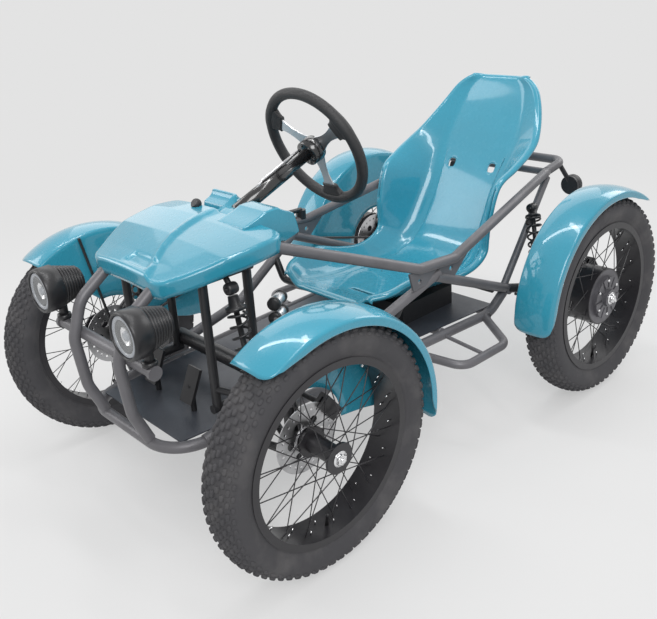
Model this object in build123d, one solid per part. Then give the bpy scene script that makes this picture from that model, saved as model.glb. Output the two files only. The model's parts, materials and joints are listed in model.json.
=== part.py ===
from build123d import *
import os
from math import atan2, cos, hypot, pi, radians, sin, tan

# Electric quadricycle: one seat, four fat spoked wheels, tubular frame, two rear hub motors.
# +Z is up, the vehicle faces -Y and its left is +X. The origin is on the ground under its middle.

# Driving sizes of the whole vehicle, mm
wheelbase = 1090.0
track = 940.0
body_height = 900.0
overrun = 5.0
fit_gap = 0.2
quarter_turn = 90.0
half_turn = 180.0
full_turn = 360.0

# Tyres and rims
tyre_radius = 295.0
tyre_width = 102.0
tyre_shoulder_radius = 277.0
tyre_tread_width = 92.0
tyre_crown_width = 30.0
rim_radius = 220.0
rim_base_radius = 206.0
rim_width = 80.0
rim_wall = 3.0

# Spokes
spoke_radius = 1.3
spoke_count = 36
spoke_sides = 6
front_cross_angle = 60.0
rear_cross_angle = 40.0
spoke_rim_offset = 12.0
spoke_plane_step = 1.7
spoke_root_depth = 2.0

# Front hubs, measured outboard from the wheel's middle plane
hub_flange_radius = 36.0
hub_flange_wall = 4.0
hub_core_radius = 22.0
hub_inner_flange = -31.0
hub_outer_flange = 53.0
hub_inner_end = -46.0
hub_cap_start = 50.0
hub_outer_end = 56.0
axle_radius = 7.5
axle_nut_radius = 12.0
axle_nut_wall = 8.0

# Rear hub motors
motor_radius = 80.0
motor_half_width = 34.0
motor_step_radius = 62.0
motor_step_end = 46.0
motor_cap_radius = 26.0
motor_spoke_flange = 22.0
motor_rib_count = 12
motor_rib_depth = 3.0

# Brakes
disc_radius = 84.0
disc_wall = 2.0
disc_offset = -50.0
disc_carrier_radius = 30.0
disc_hole_radius = 3.2
disc_hole_count = 24
disc_window_radius = 11.0
disc_window_count = 6
caliper_length = 62.0
caliper_depth = 34.0
caliper_wall = 26.0
caliper_angle = 38.0
caliper_bite = 8.5
caliper_slot = 6.0

# Steering knuckles
camber = 2.9
kingpin_offset = 95.0
kingpin_barrel_radius = 17.0
kingpin_barrel_height = 92.0
kingpin_radius = 8.0
kingpin_boss_height = 20.0
steering_arm_reach = 86.0
steering_arm_radius = 8.0
steering_eye_height = 22.0
rack_rise = 32.0
stay_radius = 4.0
front_stay_angles = (12.0, 100.0)
rear_stay_angles = (65.0, 165.0)

# Fenders
fender_radius = 309.0
fender_width = 116.0
fender_crown = 10.0
fender_lip = 16.0
fender_wall = 2.5
fender_corner = 30.0
fender_hub_cut = 115.0
fender_front_tail = -9.0
fender_front_head = 125.0
fender_rear_tail = -3.0
fender_rear_head = 130.0

# Frame tubes
frame_tube = 14.0
light_tube = 11.0
step_tube = 12.0
rail_bend = 150.0
corner_bend = 95.0
hoop_bend = 70.0
gusset_wall = 6.0
gusset_hole_radius = 7.0
plate_wall = 3.0

# Seat shell
seat_wall = 5.0
seat_lip = 12.0
seat_bend = 70.0
seat_edge_bend = 8.0
seat_bend_room = 3.0
seat_lip_room = 4.0
slot_width = 26.0
slot_depth = 50.0
slot_height = 30.0

# Front cover
cover_wall = 4.0
column_slot = 66.0
column_slot_shift = 16.5

# Steering wheel and column
steering_rim_radius = 161.0
steering_grip_radius = 15.0
steering_boss_radius = 36.0
steering_boss_height = 34.0
steering_spoke_width = 24.0
steering_spoke_wall = 4.0
column_radius = 14.0
column_bearing_wall = 9.0
column_bearing_length = 56.0

# Lamps
lamp_radius = 54.0
lamp_length = 105.0
lamp_barrel = 35.0
lamp_rear_radius = 34.0
lamp_lens_radius = 47.0
lamp_lens_wall = 6.0
lamp_fin_count = 5
lamp_fin_depth = 4.0
lamp_fin_wall = 4.0
tail_lamp_radius = 30.0
tail_lamp_wall = 24.0

# Suspension
shock_spring_radius = 24.0
shock_rod_radius = 7.0
shock_eye_radius = 13.0
shock_coil_count = 9
shock_pin_radius = 5.0
shock_tab_radius = 7.0
arm_tube = 8.5
axle_plate_radius = 21.0
pivot_radius = 16.0
rack_radius = 20.0
tie_rod_radius = 7.0

# Pedals
pedal_width = 48.0
pedal_wall = 8.0
pedal_length = 90.0
pedal_lean = -25.0


def place(x_share, y_share, z_share):
    """A point from shares of the track, the wheelbase and the body height."""
    return Vector(x_share * track, y_share * wheelbase, z_share * body_height)


def places(shares):
    return [place(*row) for row in shares]


def bar(start, end, radius):
    """A round bar between two points."""
    run = end - start
    return Pos(start) * Solid.make_cylinder(radius, run.length, Plane((0, 0, 0), z_dir=run))


def tube(points, radius, bend):
    """A round tube along straight runs that are joined by arcs of one bend radius."""
    if len(points) == 2:
        return bar(points[0], points[1], radius)
    path = FilletPolyline(*points, radius=bend)
    section = Plane(origin=path @ 0, z_dir=path % 0) * Circle(radius)
    return sweep(section, path=path)


def both_sides(points):
    """A symmetric run of points: the left side's, then its mirror image in reverse."""
    return points + [Vector(-p.X, p.Y, p.Z) for p in reversed(points)]


def mirrored(shape):
    return mirror(shape, about=Plane.YZ)


def joined(shapes):
    result = shapes[0]
    for shape in shapes[1:]:
        result = result + shape
    return result


def without(shape, others):
    """A piece coped to fit against others of its own body."""
    for other in others:
        shape = shape - other
    return shape


def disc(radius, start, end):
    """A round disc about the X axis between two X places."""
    return Plane(origin=(start, 0, 0), z_dir=(1, 0, 0)) * extrude(Circle(radius), end - start)


parts = {}

# Wheel stations. Columns: name, side (+1 left), share of the wheelbase, camber share, driven
wheel_stations = [
    ("front_left", 1, -0.5, 1, False),
    ("front_right", -1, -0.5, 1, False),
    ("rear_left", 1, 0.5, 0, True),
    ("rear_right", -1, 0.5, 0, True),
]
tyre_round = tyre_width / 2


def wheel_place(y_share, camber_share):
    """Where a left wheel's own axes stand: X outboard along the axle, tilted by the camber."""
    tilt = camber * camber_share
    height = (tyre_radius - tyre_round) * cos(radians(tilt)) + tyre_round
    return Location((track / 2, y_share * wheelbase, height), (0, tilt, 0))


def to_station(shape, station):
    """A left-hand piece in wheel axes, moved to its station and mirrored on the right."""
    placed = wheel_place(station[2], station[3]) * shape
    return placed if station[1] > 0 else mirrored(placed)


# Tyre: two straights for each sidewall and three for the crowned tread
half_rim = rim_width / 2
half_tread = tyre_tread_width / 2
bead = half_rim - rim_wall - fit_gap
crown_half = tyre_crown_width / 2
bulge_radius = (rim_radius + tyre_shoulder_radius) / 2
half_tyre = [
    (bead, rim_base_radius + fit_gap), (bead, rim_radius + rim_wall), (tyre_width / 2, bulge_radius),
    (half_tread, tyre_shoulder_radius), (crown_half, tyre_radius),
]
tyre_outline = half_tyre + [(-x, radius) for x, radius in reversed(half_tyre)]
tyre = revolve(make_face(Polyline(*tyre_outline, close=True)), axis=Axis.X)

# Rim: a wide channel with two upright flanges
rim_inner = rim_base_radius - rim_wall
rim_face = make_face(Polyline(
    (-half_rim, rim_inner), (half_rim, rim_inner), (half_rim, rim_radius),
    (half_rim - rim_wall, rim_radius), (half_rim - rim_wall, rim_base_radius),
    (rim_wall - half_rim, rim_base_radius), (rim_wall - half_rim, rim_radius), (-half_rim, rim_radius),
    close=True))
rim = revolve(rim_face, axis=Axis.X)


def on_circle(radius, angle, x):
    return Vector(x, radius * cos(radians(angle)), radius * sin(radians(angle)))


def spokes(flanges, flange_radius, cross_angle):
    """Crossed wire spokes from two hub flanges to the rim, in two planes on each flange."""
    wires = []
    pitch = full_turn / (spoke_count / 2)
    for flange, flange_x in enumerate(flanges):
        rim_x = spoke_rim_offset * (1 if flange else -1)
        for hole in range(spoke_count // 2):
            lead = 1 if hole % 2 else -1
            hub_angle = pitch * hole + flange * pitch / 2
            shift = lead * spoke_plane_step
            root = on_circle(flange_radius - spoke_root_depth, hub_angle, flange_x + shift)
            tip = on_circle(rim_inner + spoke_root_depth, hub_angle + lead * cross_angle, rim_x + shift)
            axis = Plane(origin=root, z_dir=tip - root)
            wires.append(extrude(axis * RegularPolygon(spoke_radius, spoke_sides), (tip - root).length))
    return wires


# Front hub: two spoke flanges on a core, the outer one an end plate
hub = joined([
    disc(hub_core_radius, hub_inner_end, hub_outer_end - overrun),
    disc(hub_flange_radius, hub_inner_flange - hub_flange_wall / 2, hub_inner_flange + hub_flange_wall / 2),
    disc(hub_flange_radius, hub_outer_flange - hub_flange_wall / 2, hub_outer_flange + hub_flange_wall / 2),
    disc(hub_flange_radius, hub_cap_start, hub_outer_end),
])
axle_bore = disc(axle_radius + fit_gap, hub_inner_end - overrun, hub_outer_end + overrun)
front_wires = spokes((hub_inner_flange, hub_outer_flange), hub_flange_radius, front_cross_angle)
front_wheel = rim.fuse(hub, *front_wires) - axle_bore

# Rear hub motor: a wide ribbed drum with a stepped cover; the rim's wires pull on its edges
motor_case = joined([
    disc(motor_radius, -motor_half_width, motor_half_width),
    disc(motor_step_radius, motor_half_width - overrun, motor_step_end),
    disc(motor_cap_radius, motor_step_end - overrun, hub_outer_end),
])
rib_angle = full_turn / motor_rib_count
rib_width = pi * motor_step_radius / motor_rib_count / 2
rib_cut = Pos(motor_step_end, 0, 0) * Box(motor_rib_depth * 2, rib_width, motor_step_radius)
for rib in range(motor_rib_count):
    turn = Rot(rib_angle * rib, 0, 0)
    motor_case = motor_case - turn * Pos(0, 0, motor_step_radius) * rib_cut
motor_bore = disc(axle_radius + fit_gap, -motor_half_width - overrun, hub_outer_end + overrun)
motor_case = motor_case - motor_bore
band_radius = motor_radius + hub_flange_wall
rear_wires = spokes((-motor_spoke_flange, motor_spoke_flange), band_radius, rear_cross_angle)
motor_band = disc(band_radius, -motor_half_width, motor_half_width)
band_hole = disc(motor_radius + fit_gap, -motor_half_width - overrun, motor_half_width + overrun)
motor_band = motor_band - band_hole
rear_wheel = rim.fuse(motor_band, *rear_wires)

# Brake disc with a ring of holes and one of windows, carried on the hub's inner end
def brake_disc(bore_radius, carrier_end):
    plate = disc(disc_radius, disc_offset - disc_wall / 2, disc_offset + disc_wall / 2)
    plate = plate + disc(disc_carrier_radius, disc_offset, carrier_end)
    window_ring = disc_carrier_radius + disc_window_radius + disc_wall
    hole_ring = (disc_radius + window_ring + disc_window_radius) / 2
    for radius, ring, count in ((disc_hole_radius, hole_ring, disc_hole_count),
                                (disc_window_radius, window_ring, disc_window_count)):
        for hole in range(count):
            spot = on_circle(ring, full_turn / count * hole, disc_offset)
            plate = plate - Pos(spot) * Rot(0, quarter_turn, 0) * Cylinder(radius, disc_wall + overrun)
    return plate - disc(bore_radius, disc_offset - overrun, carrier_end + overrun)


front_disc = brake_disc(axle_radius + fit_gap, hub_inner_end)
rear_disc = brake_disc(axle_radius + fit_gap, -motor_half_width)

for station in wheel_stations:
    name = station[0]
    parts["tyre_" + name] = to_station(tyre, station)
    parts["rim_" + name] = to_station(rear_wheel if station[4] else front_wheel, station)
    parts["brake_disc_" + name] = to_station(rear_disc if station[4] else front_disc, station)
    if station[4]:
        parts["hub_motor_" + name] = to_station(motor_case, station)

# Fenders: a crowned strip turned about the wheel's axle, with a side wall on the inboard edge that is
# cut away round the hub. Angles rise from the tail, behind a front wheel, over the top to the head.
fender_edge = fender_radius - fender_lip
fender_half = fender_width / 2
wall_low_share = 0.6
wall_drop_share = 0.2
hub_cut_end = 100.0


def fender_strip(start_angle, end_angle):
    crown = fender_radius + fender_crown
    with BuildSketch(Plane.XY) as face:
        with BuildLine():
            Line((-fender_half, fender_edge), (-fender_half, fender_radius))
            ThreePointArc((-fender_half, fender_radius), (0, crown), (fender_half, fender_radius))
            Line((fender_half, fender_radius), (fender_half, fender_edge))
            Line((fender_half, fender_edge), (fender_half + fender_wall, fender_edge))
            Line((fender_half + fender_wall, fender_edge), (fender_half + fender_wall, fender_radius))
            ThreePointArc((fender_half + fender_wall, fender_radius), (0, crown + fender_wall),
                          (-fender_half - fender_wall, fender_radius))
            Line((-fender_half - fender_wall, fender_radius), (-fender_half - fender_wall, fender_edge))
            Line((-fender_half - fender_wall, fender_edge), (-fender_half, fender_edge))
        make_face()
    strip = revolve(face.sketch, axis=Axis.X, revolution_arc=end_angle - start_angle)
    return Rot(start_angle, 0, 0) * strip


def fender_side(tail_angle, head_angle, way):
    """The inboard side wall: an outer arc, a lower edge and an arc round the hub."""
    def spot(radius, angle):
        return Vector(way * radius * cos(radians(angle)), radius * sin(radians(angle)))

    middle = (tail_angle + head_angle) / 2
    tail = spot(fender_radius, tail_angle)
    low = Vector(way * fender_radius * wall_low_share, tail.Y * wall_drop_share)
    with BuildSketch(Plane.YZ.offset(-fender_half - fender_wall)) as face:
        with BuildLine():
            ThreePointArc(tail, spot(fender_radius, middle), spot(fender_radius, head_angle))
            Line(spot(fender_radius, head_angle), spot(fender_hub_cut, hub_cut_end))
            ThreePointArc(spot(fender_hub_cut, hub_cut_end), spot(fender_hub_cut, hub_cut_end / 2),
                          spot(fender_hub_cut, 0))
            Polyline(spot(fender_hub_cut, 0), low, tail)
        make_face()
    return extrude(face.sketch, fender_wall)


def corner_cut(end_angle, way, side):
    """What rounds one end corner of the strip: a square less a quarter disc, set radially."""
    size = fender_corner + overrun
    block = Pos(side * size / 2, way * size / 2, 0) * Box(size, size, fender_width)
    block = block - Cylinder(fender_corner, fender_width * 2)
    along = side * (fender_half + fender_wall - fender_corner)
    return Rot(end_angle - quarter_turn, 0, 0) * Pos(along, -way * fender_corner, fender_radius) * block


def fender(tail_angle, head_angle, way):
    """A fender whose tail lies behind the wheel (way 1) or ahead of it (way -1)."""
    tail = tail_angle if way > 0 else half_turn - tail_angle
    head = head_angle if way > 0 else half_turn - head_angle
    shell = fender_strip(min(tail, head), max(tail, head))
    shell = shell + fender_side(tail_angle, head_angle, way)
    shell = shell - corner_cut(tail, -way, 1) - corner_cut(tail, -way, -1)
    return shell - corner_cut(head, way, 1)


front_fender = fender(fender_front_tail, fender_front_head, 1)
rear_fender = fender(fender_rear_tail, fender_rear_head, -1)
parts["fender_front_left"] = to_station(front_fender, wheel_stations[0])
parts["fender_front_right"] = to_station(front_fender, wheel_stations[1])
parts["fenders_rear"] = Compound([to_station(rear_fender, row) for row in wheel_stations[2:]])

# Brake caliper: a block that straddles the disc's edge
def caliper():
    block = Box(caliper_wall, caliper_depth, caliper_length)
    slot = Pos(0, -caliper_bite, 0) * Box(caliper_slot, caliper_depth, caliper_length + overrun)
    body = Pos(disc_offset, disc_radius, 0) * (block - slot)
    return Rot(caliper_angle, 0, 0) * body


caliper_piece = caliper()

# Stub axle, its nut, the caliper's bracket and the fender's stays, all in wheel axes
bracket_start = disc_offset - caliper_wall / 2 - hub_flange_wall
bracket_x = (bracket_start, bracket_start + hub_flange_wall)
stay_x = -fender_width / 2 - fender_wall - fit_gap - stay_radius


def axle_set(root_x, stay_angles):
    pieces = [
        disc(axle_radius, root_x, hub_outer_end + axle_nut_wall + fit_gap),
        disc(axle_nut_radius, hub_outer_end + fit_gap, hub_outer_end + axle_nut_wall + fit_gap),
        disc(kingpin_barrel_radius, bracket_x[0], bracket_x[1]),
    ]
    reach = disc_radius - caliper_bite
    arm_middle = (bracket_x[0] + bracket_x[1]) / 2
    arm = Pos(arm_middle, reach / 2, 0) * Box(hub_flange_wall, reach, caliper_depth)
    pieces.append(Rot(caliper_angle, 0, 0) * arm)
    for angle in stay_angles:
        root = on_circle(axle_radius / 2, angle, stay_x)
        tip = on_circle(fender_radius, angle, stay_x)
        pieces.append(bar(root, tip, stay_radius))
    return joined(pieces)


front_axle_set = axle_set(-kingpin_offset, front_stay_angles)
rear_axle_set = axle_set(-kingpin_offset, rear_stay_angles)

# Knuckle: upright kingpin barrel, stub axle and steering arm
front_place = wheel_place(*wheel_stations[0][2:4])
rear_place = wheel_place(*wheel_stations[2][2:4])
kingpin_x = track / 2 - kingpin_offset * cos(radians(camber))
kingpin_z = front_place.position.Z + kingpin_offset * sin(radians(camber))
kingpin_foot = Vector(kingpin_x, -wheelbase / 2, kingpin_z)
barrel = Pos(kingpin_foot) * Cylinder(kingpin_barrel_radius, kingpin_barrel_height)
arm_eye = kingpin_foot + Vector(0, steering_arm_reach, 0)
steering_arm = bar(kingpin_foot, arm_eye, steering_arm_radius)
steering_eye = Pos(arm_eye) * Cylinder(steering_arm_radius + axle_radius, steering_eye_height)
knuckle = barrel.fuse(front_place * front_axle_set, steering_arm, steering_eye)
pin_bore = Pos(kingpin_foot) * Cylinder(kingpin_radius + fit_gap, kingpin_barrel_height + overrun)
knuckle = knuckle - pin_bore
parts["knuckle_left"] = knuckle
parts["knuckle_right"] = mirrored(knuckle)

# Main frame. Columns of each run: shares of the track, the wheelbase and the body height
floor_shares = [
    (0.279, 0.372, 0.340), (0.279, 0.298, 0.278), (0.246, -0.225, 0.278), (0.202, -0.688, 0.278),
]
floor_points = places(floor_shares)
floor_level = floor_points[1].Z
floor_loop = tube(both_sides(floor_points), frame_tube, corner_bend)


def side_x(y):
    """The floor loop's half width at a place along the vehicle."""
    for rear, front in zip(floor_points, floor_points[1:]):
        if front.Y <= y <= rear.Y:
            return front.X + (rear.X - front.X) * (y - front.Y) / (rear.Y - front.Y)
    return floor_points[-1].X


cross_shares = (-0.417, -0.15, 0.12, 0.298)
crosses = []
for share in cross_shares:
    y = share * wheelbase
    end = Vector(side_x(y), y, floor_level)
    crosses.append(bar(Vector(-end.X, end.Y, end.Z), end, light_tube))
parts["floor_frame"] = joined([floor_loop] + crosses)

# Side frames: upper rail, diagonal rail, bar to the rear pivot, upright
upper_shares = [
    (0.111, -0.629, 0.680), (0.179, -0.550, 0.698), (0.221, -0.404, 0.740), (0.319, -0.023, 0.561),
    (0.319, 0.106, 0.550), (0.236, 0.601, 0.664), (0.213, 0.642, 0.656),
]
diagonal_shares = [(0.213, -0.610, 0.284), (0.246, -0.206, 0.376), (0.311, 0.055, 0.522)]
pivot_bar_shares = [(0.311, 0.041, 0.513), (0.285, 0.367, 0.342)]
upright_shares = [(0.281, 0.353, 0.342), (0.228, 0.624, 0.644)]
upper_points = places(upper_shares)
diagonal_points = places(diagonal_shares)
pivot_points = places(pivot_bar_shares)
upright_points = places(upright_shares)
upper_rail = tube(upper_points, frame_tube, hoop_bend / 2)
side_frame = joined([
    upper_rail,
    tube(diagonal_points, frame_tube, rail_bend),
    tube(pivot_points, frame_tube, rail_bend),
    tube(upright_points, light_tube, rail_bend),
])

# Gusset plate in the webs between the rails, with two bolt holes. Columns: shares of the wheelbase
# and the body height
gusset_x_share = 0.311
gusset_shares = [
    (-0.053, 0.553), (0.101, 0.551), (0.176, 0.559), (0.108, 0.484), (0.055, 0.506), (-0.040, 0.497),
]
gusset_hole_shares = [(-0.018, 0.519), (0.099, 0.519)]
gusset_x = gusset_x_share * track
with BuildSketch(Plane.YZ.offset(gusset_x - gusset_wall / 2)) as gusset_face:
    with BuildLine():
        Polyline(*[(y * wheelbase, z * body_height) for y, z in gusset_shares], close=True)
    make_face()
    with Locations(*[(y * wheelbase, z * body_height) for y, z in gusset_hole_shares]):
        Circle(gusset_hole_radius, mode=Mode.SUBTRACT)
side_frame = side_frame + extrude(gusset_face.sketch, gusset_wall)
pivot_place = pivot_points[1]
pivot_boss = Rot(0, quarter_turn, 0) * Cylinder(pivot_radius, frame_tube * 2)
side_frame = side_frame + Pos(pivot_place) * pivot_boss
side_frame = without(side_frame, [parts["floor_frame"]]).solids().sort_by(SortBy.VOLUME)[-1]
side_pair = [side_frame, mirrored(side_frame)]
parts["side_frames"] = Compound(side_pair)

# Rear hoop behind the seat, with the cross tube between the rail ends
hoop_shares = [(0.213, 0.642, 0.658), (0.213, 0.727, 0.676)]
rear_hoop_points = places(hoop_shares)
rail_end = upper_points[-1]
rear_hoop = tube(both_sides(rear_hoop_points), frame_tube, hoop_bend / 2)
rear_hoop = rear_hoop + bar(Vector(-rail_end.X, rail_end.Y, rail_end.Z), rail_end, light_tube)
parts["rear_hoop"] = without(rear_hoop, side_pair)

# Front hoops and the lamp bar across them
front_hoop_shares = [
    (0.111, -0.633, 0.680), (0.111, -0.702, 0.622), (0.111, -0.732, 0.522), (0.111, -0.720, 0.378),
    (0.111, -0.690, 0.291),
]
lamp_bar_shares = (0.218, -0.708, 0.529)
lamp_bar_end = place(*lamp_bar_shares)
front_hoop = tube(places(front_hoop_shares), frame_tube, hoop_bend)
lamp_bar = bar(Vector(-lamp_bar_end.X, lamp_bar_end.Y, lamp_bar_end.Z), lamp_bar_end, frame_tube)
lamp_bar_cap = bar(lamp_bar_end, lamp_bar_end + Vector(light_tube, 0, 0), frame_tube + rim_wall)
front_hoops = joined([front_hoop, mirrored(front_hoop), lamp_bar, lamp_bar_cap, mirrored(lamp_bar_cap)])
frame_so_far = [parts["floor_frame"]] + side_pair
parts["front_hoops"] = without(front_hoops, frame_so_far)

# Front bulkhead: two pairs of uprights, the column's bearing tubes and the rack's housing. The rear
# uprights stand just ahead of the housing, and the column's lower bearing lies between the head beams.
bulkhead_x_share = 0.188
bulkhead_front_share = -0.555
bulkhead_head_share = 0.693
bearing_shares = (0, -0.497, 0.690)
bulkhead_x = bulkhead_x_share * track
rack_place = Vector(0, -wheelbase / 2 + steering_arm_reach, kingpin_foot.Z + rack_rise)
upright_lap = light_tube / 4
bulkhead_places = (bulkhead_front_share * wheelbase, rack_place.Y - rack_radius - upright_lap)
bulkhead_foot = rack_place.Z - rack_radius - light_tube / 2
bulkhead_head = bulkhead_head_share * body_height
wheel_centre_shares = (0, -0.080, 0.891)
wheel_centre = place(*wheel_centre_shares)
lower_bearing = place(*bearing_shares)
column_axis = (wheel_centre - lower_bearing).normalized()


def on_column(y):
    """The point of the steering column's axis at a place along the vehicle."""
    return wheel_centre + column_axis * ((y - wheel_centre.Y) / column_axis.Y)


def bulkhead_beam(level):
    """A beam along one side's uprights, a little past them at both ends."""
    start = Vector(bulkhead_x, bulkhead_places[0] - frame_tube, level)
    return bar(start, Vector(bulkhead_x, bulkhead_places[1] + frame_tube, level), light_tube)


front_shock_shares = [(0.285, -0.5, 0.285), (0.212, -0.5, 0.660)]
front_shock_ends = places(front_shock_shares)
uprights = []
for y in bulkhead_places:
    foot = Vector(bulkhead_x, y, bulkhead_foot)
    uprights.append(bar(foot, Vector(bulkhead_x, y, bulkhead_head), light_tube))
tab_root = Vector(bulkhead_x, front_shock_ends[1].Y, bulkhead_head)
shock_tab = bar(tab_root, front_shock_ends[1], shock_tab_radius)
side_bulkhead = joined(uprights + [bulkhead_beam(bulkhead_foot), bulkhead_beam(bulkhead_head), shock_tab])
lower_cross = Vector(bulkhead_x, lower_bearing.Y, lower_bearing.Z)
rack_end = Vector(bulkhead_x + frame_tube, rack_place.Y, rack_place.Z)
bearing = Pos(lower_bearing) * Plane((0, 0, 0), z_dir=column_axis).location
bearing = bearing * Cylinder(column_radius + column_bearing_wall, column_bearing_length)
bulkhead = joined([
    side_bulkhead, mirrored(side_bulkhead),
    bar(Vector(-lower_cross.X, lower_cross.Y, lower_cross.Z), lower_cross, light_tube),
    bar(Vector(-rack_end.X, rack_end.Y, rack_end.Z), rack_end, rack_radius),
    bearing,
])
column_hole = bar(wheel_centre - column_axis * wheelbase, wheel_centre, column_radius + fit_gap)
rack_run = Vector(track / 2, 0, 0)
rack_hole = bar(rack_place - rack_run, rack_place + rack_run, tie_rod_radius + fit_gap)
bulkhead = bulkhead - column_hole - rack_hole
parts["front_bulkhead"] = without(bulkhead, frame_so_far)

# Tie rods and rack slide across together; each end sits over a steering arm's eye
rod_end = Vector(arm_eye.X, arm_eye.Y, rack_place.Z)
rods = bar(Vector(-rod_end.X, rod_end.Y, rod_end.Z), rod_end, tie_rod_radius)
ball_height = rod_end.Z - arm_eye.Z - steering_eye_height / 2 - fit_gap
ball = Pos(rod_end - Vector(0, 0, ball_height / 2)) * Cylinder(tie_rod_radius, ball_height)
parts["tie_rods"] = joined([rods, ball, mirrored(ball)])

# Floor plates lie on the floor frame between its cross tubes
plate_level = floor_level + light_tube + fit_gap
plate_rear_share = 0.330
plate_front_share = -0.655
plate_rear = plate_rear_share * wheelbase
plate_front = plate_front_share * wheelbase
plate_side = floor_points[3].X - frame_tube
with BuildSketch(Plane.XY.offset(plate_level)) as plate_face:
    with BuildLine():
        rear_side = floor_points[1].X - frame_tube
        Polyline((-plate_side, plate_front), (plate_side, plate_front), (rear_side, plate_rear),
                 (-rear_side, plate_rear), close=True)
    make_face()
plate = extrude(plate_face.sketch, plate_wall)
frame_so_far = frame_so_far + [parts["front_hoops"], parts["front_bulkhead"]]
parts["floor_plate"] = without(plate, frame_so_far)

# Side steps
step_root_shares = (-0.018, 0.275)
step_shares = [(0.426, 0.028, 0.261), (0.426, 0.197, 0.261)]
step_roots = []
for share in step_root_shares:
    y = share * wheelbase
    step_roots.append(Vector(side_x(y), y, floor_level))
step_points = [step_roots[0]] + places(step_shares) + [step_roots[1]]
step_loop = tube(step_points, step_tube, corner_bend / 2)
step_mid = (step_points[1] + step_points[2]) / 2
step_loop = step_loop + bar(Vector(side_x(step_mid.Y), step_mid.Y, floor_level), step_mid, light_tube / 2)
step_pair = joined([step_loop, mirrored(step_loop)])
parts["side_steps"] = without(step_pair, [parts["floor_frame"]])

# Seat shell. Columns: y share of the wheelbase, z share of the body height, lean in degrees of the
# shell's middle line, half widths at the bottom and at the edge and side height as shares of the track
seat_shares = [
    (-0.073, 0.420, -5, 0.160, 0.208, 0.032),
    (0.000, 0.403, -9, 0.160, 0.212, 0.066),
    (0.069, 0.391, -6, 0.160, 0.214, 0.080),
    (0.150, 0.382, -3, 0.160, 0.215, 0.062),
    (0.234, 0.376, 4, 0.160, 0.216, 0.050),
    (0.310, 0.384, 18, 0.159, 0.217, 0.054),
    (0.372, 0.410, 40, 0.158, 0.218, 0.072),
    (0.412, 0.448, 53, 0.156, 0.221, 0.110),
    (0.445, 0.500, 60, 0.155, 0.224, 0.138),
    (0.494, 0.600, 62, 0.150, 0.230, 0.158),
    (0.526, 0.664, 61, 0.148, 0.237, 0.115),
    (0.557, 0.722, 60, 0.147, 0.236, 0.070),
    (0.588, 0.780, 61, 0.144, 0.222, 0.038),
    (0.633, 0.872, 63, 0.126, 0.182, 0.018),
    (0.670, 0.966, 65, 0.085, 0.116, 0.010),
]


def seat_section(row):
    """One closed cross-section of the shell: a flat bottom, leaning sides and a turned-out lip."""
    y_share, z_share, lean, bottom_share, edge_share, side_share = row
    bottom = bottom_share * track
    edge = edge_share * track
    side = side_share * track
    length = hypot(edge - bottom, side)
    turn = atan2(side, edge - bottom)
    bend = min(seat_bend, length / seat_bend_room / tan(turn / 2))
    lip_bend = min(seat_edge_bend, length / seat_lip_room / tan(turn / 2))
    shift = seat_wall * tan(turn / 2)
    upper = [(-edge - seat_lip, side), (-edge, side), (-bottom, 0), (bottom, 0), (edge, side),
             (edge + seat_lip, side)]
    lower = [(-edge - seat_lip, side - seat_wall), (-edge - shift, side - seat_wall),
             (-bottom - shift, -seat_wall), (bottom + shift, -seat_wall), (edge + shift, side - seat_wall),
             (edge + seat_lip, side - seat_wall)]
    top_line = FilletPolyline(*upper, radius=[lip_bend + seat_wall, bend, bend, lip_bend + seat_wall])
    low_line = FilletPolyline(*lower, radius=[lip_bend, bend + seat_wall, bend + seat_wall, lip_bend])
    ends = [Line(upper[0], lower[0]), Line(upper[-1], lower[-1])]
    face = make_face(top_line.edges() + low_line.edges() + ends)
    up = Vector(0, -sin(radians(lean)), cos(radians(lean)))
    along = Vector(0, cos(radians(lean)), sin(radians(lean)))
    return Plane(origin=place(0, y_share, z_share), x_dir=(1, 0, 0), z_dir=-along) * face


seat = loft([seat_section(row) for row in seat_shares], ruled=True)
belt_slot_shares = (0.083, 0.533, 0.675)
belt_slot_lean = -31.0
for side in (-1, 1):
    slot_spot = place(side * belt_slot_shares[0], belt_slot_shares[1], belt_slot_shares[2])
    slot_cut = Box(slot_width, slot_depth, slot_height)
    seat = seat - Pos(slot_spot) * Rot(belt_slot_lean, 0, 0) * slot_cut
parts["seat"] = seat

# Seat bearers: tubes under the shell, one bent down from the diagonal rails, one between the pivot bars
bearer_bend = light_tube * 2
front_bearer_shares = [(0.278, -0.045, 0.465), (0.245, -0.045, 0.3965)]
rear_bearer_shares = (0.2895, 0.300, 0.3655)
rear_bearer_end = place(*rear_bearer_shares)
bearers = [
    tube(both_sides(places(front_bearer_shares)), light_tube, bearer_bend),
    bar(Vector(-rear_bearer_end.X, rear_bearer_end.Y, rear_bearer_end.Z), rear_bearer_end, light_tube),
]
bearers = [without(piece, frame_so_far + [seat]).solids().sort_by(SortBy.VOLUME)[-1] for piece in bearers]
parts["seat_bearers"] = Compound(bearers)

# Battery block under the seat, on the floor plate
battery_shares = (0.31, 0.20, 0.066)
battery_centre_share = 0.17
battery_top = plate_level + plate_wall + battery_shares[2] * body_height
battery = Pos(0, battery_centre_share * wheelbase, (plate_level + plate_wall + battery_top) / 2)
battery_size = place(*battery_shares)
battery = battery * Box(battery_size.X, battery_size.Y, battery_size.Z)
parts["battery_box"] = battery

# Front cover. Columns: y share of the wheelbase, half width share of the track, shares of the body
# height at the middle and at the side, depth of the skirt
cover_shares = [
    (-0.642, 0.160, 0.722, 0.711, 42.0),
    (-0.592, 0.197, 0.739, 0.728, 42.0),
    (-0.518, 0.239, 0.769, 0.758, 42.0),
    (-0.427, 0.253, 0.784, 0.772, 38.0),
    (-0.367, 0.240, 0.787, 0.767, 22.0),
]


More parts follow.
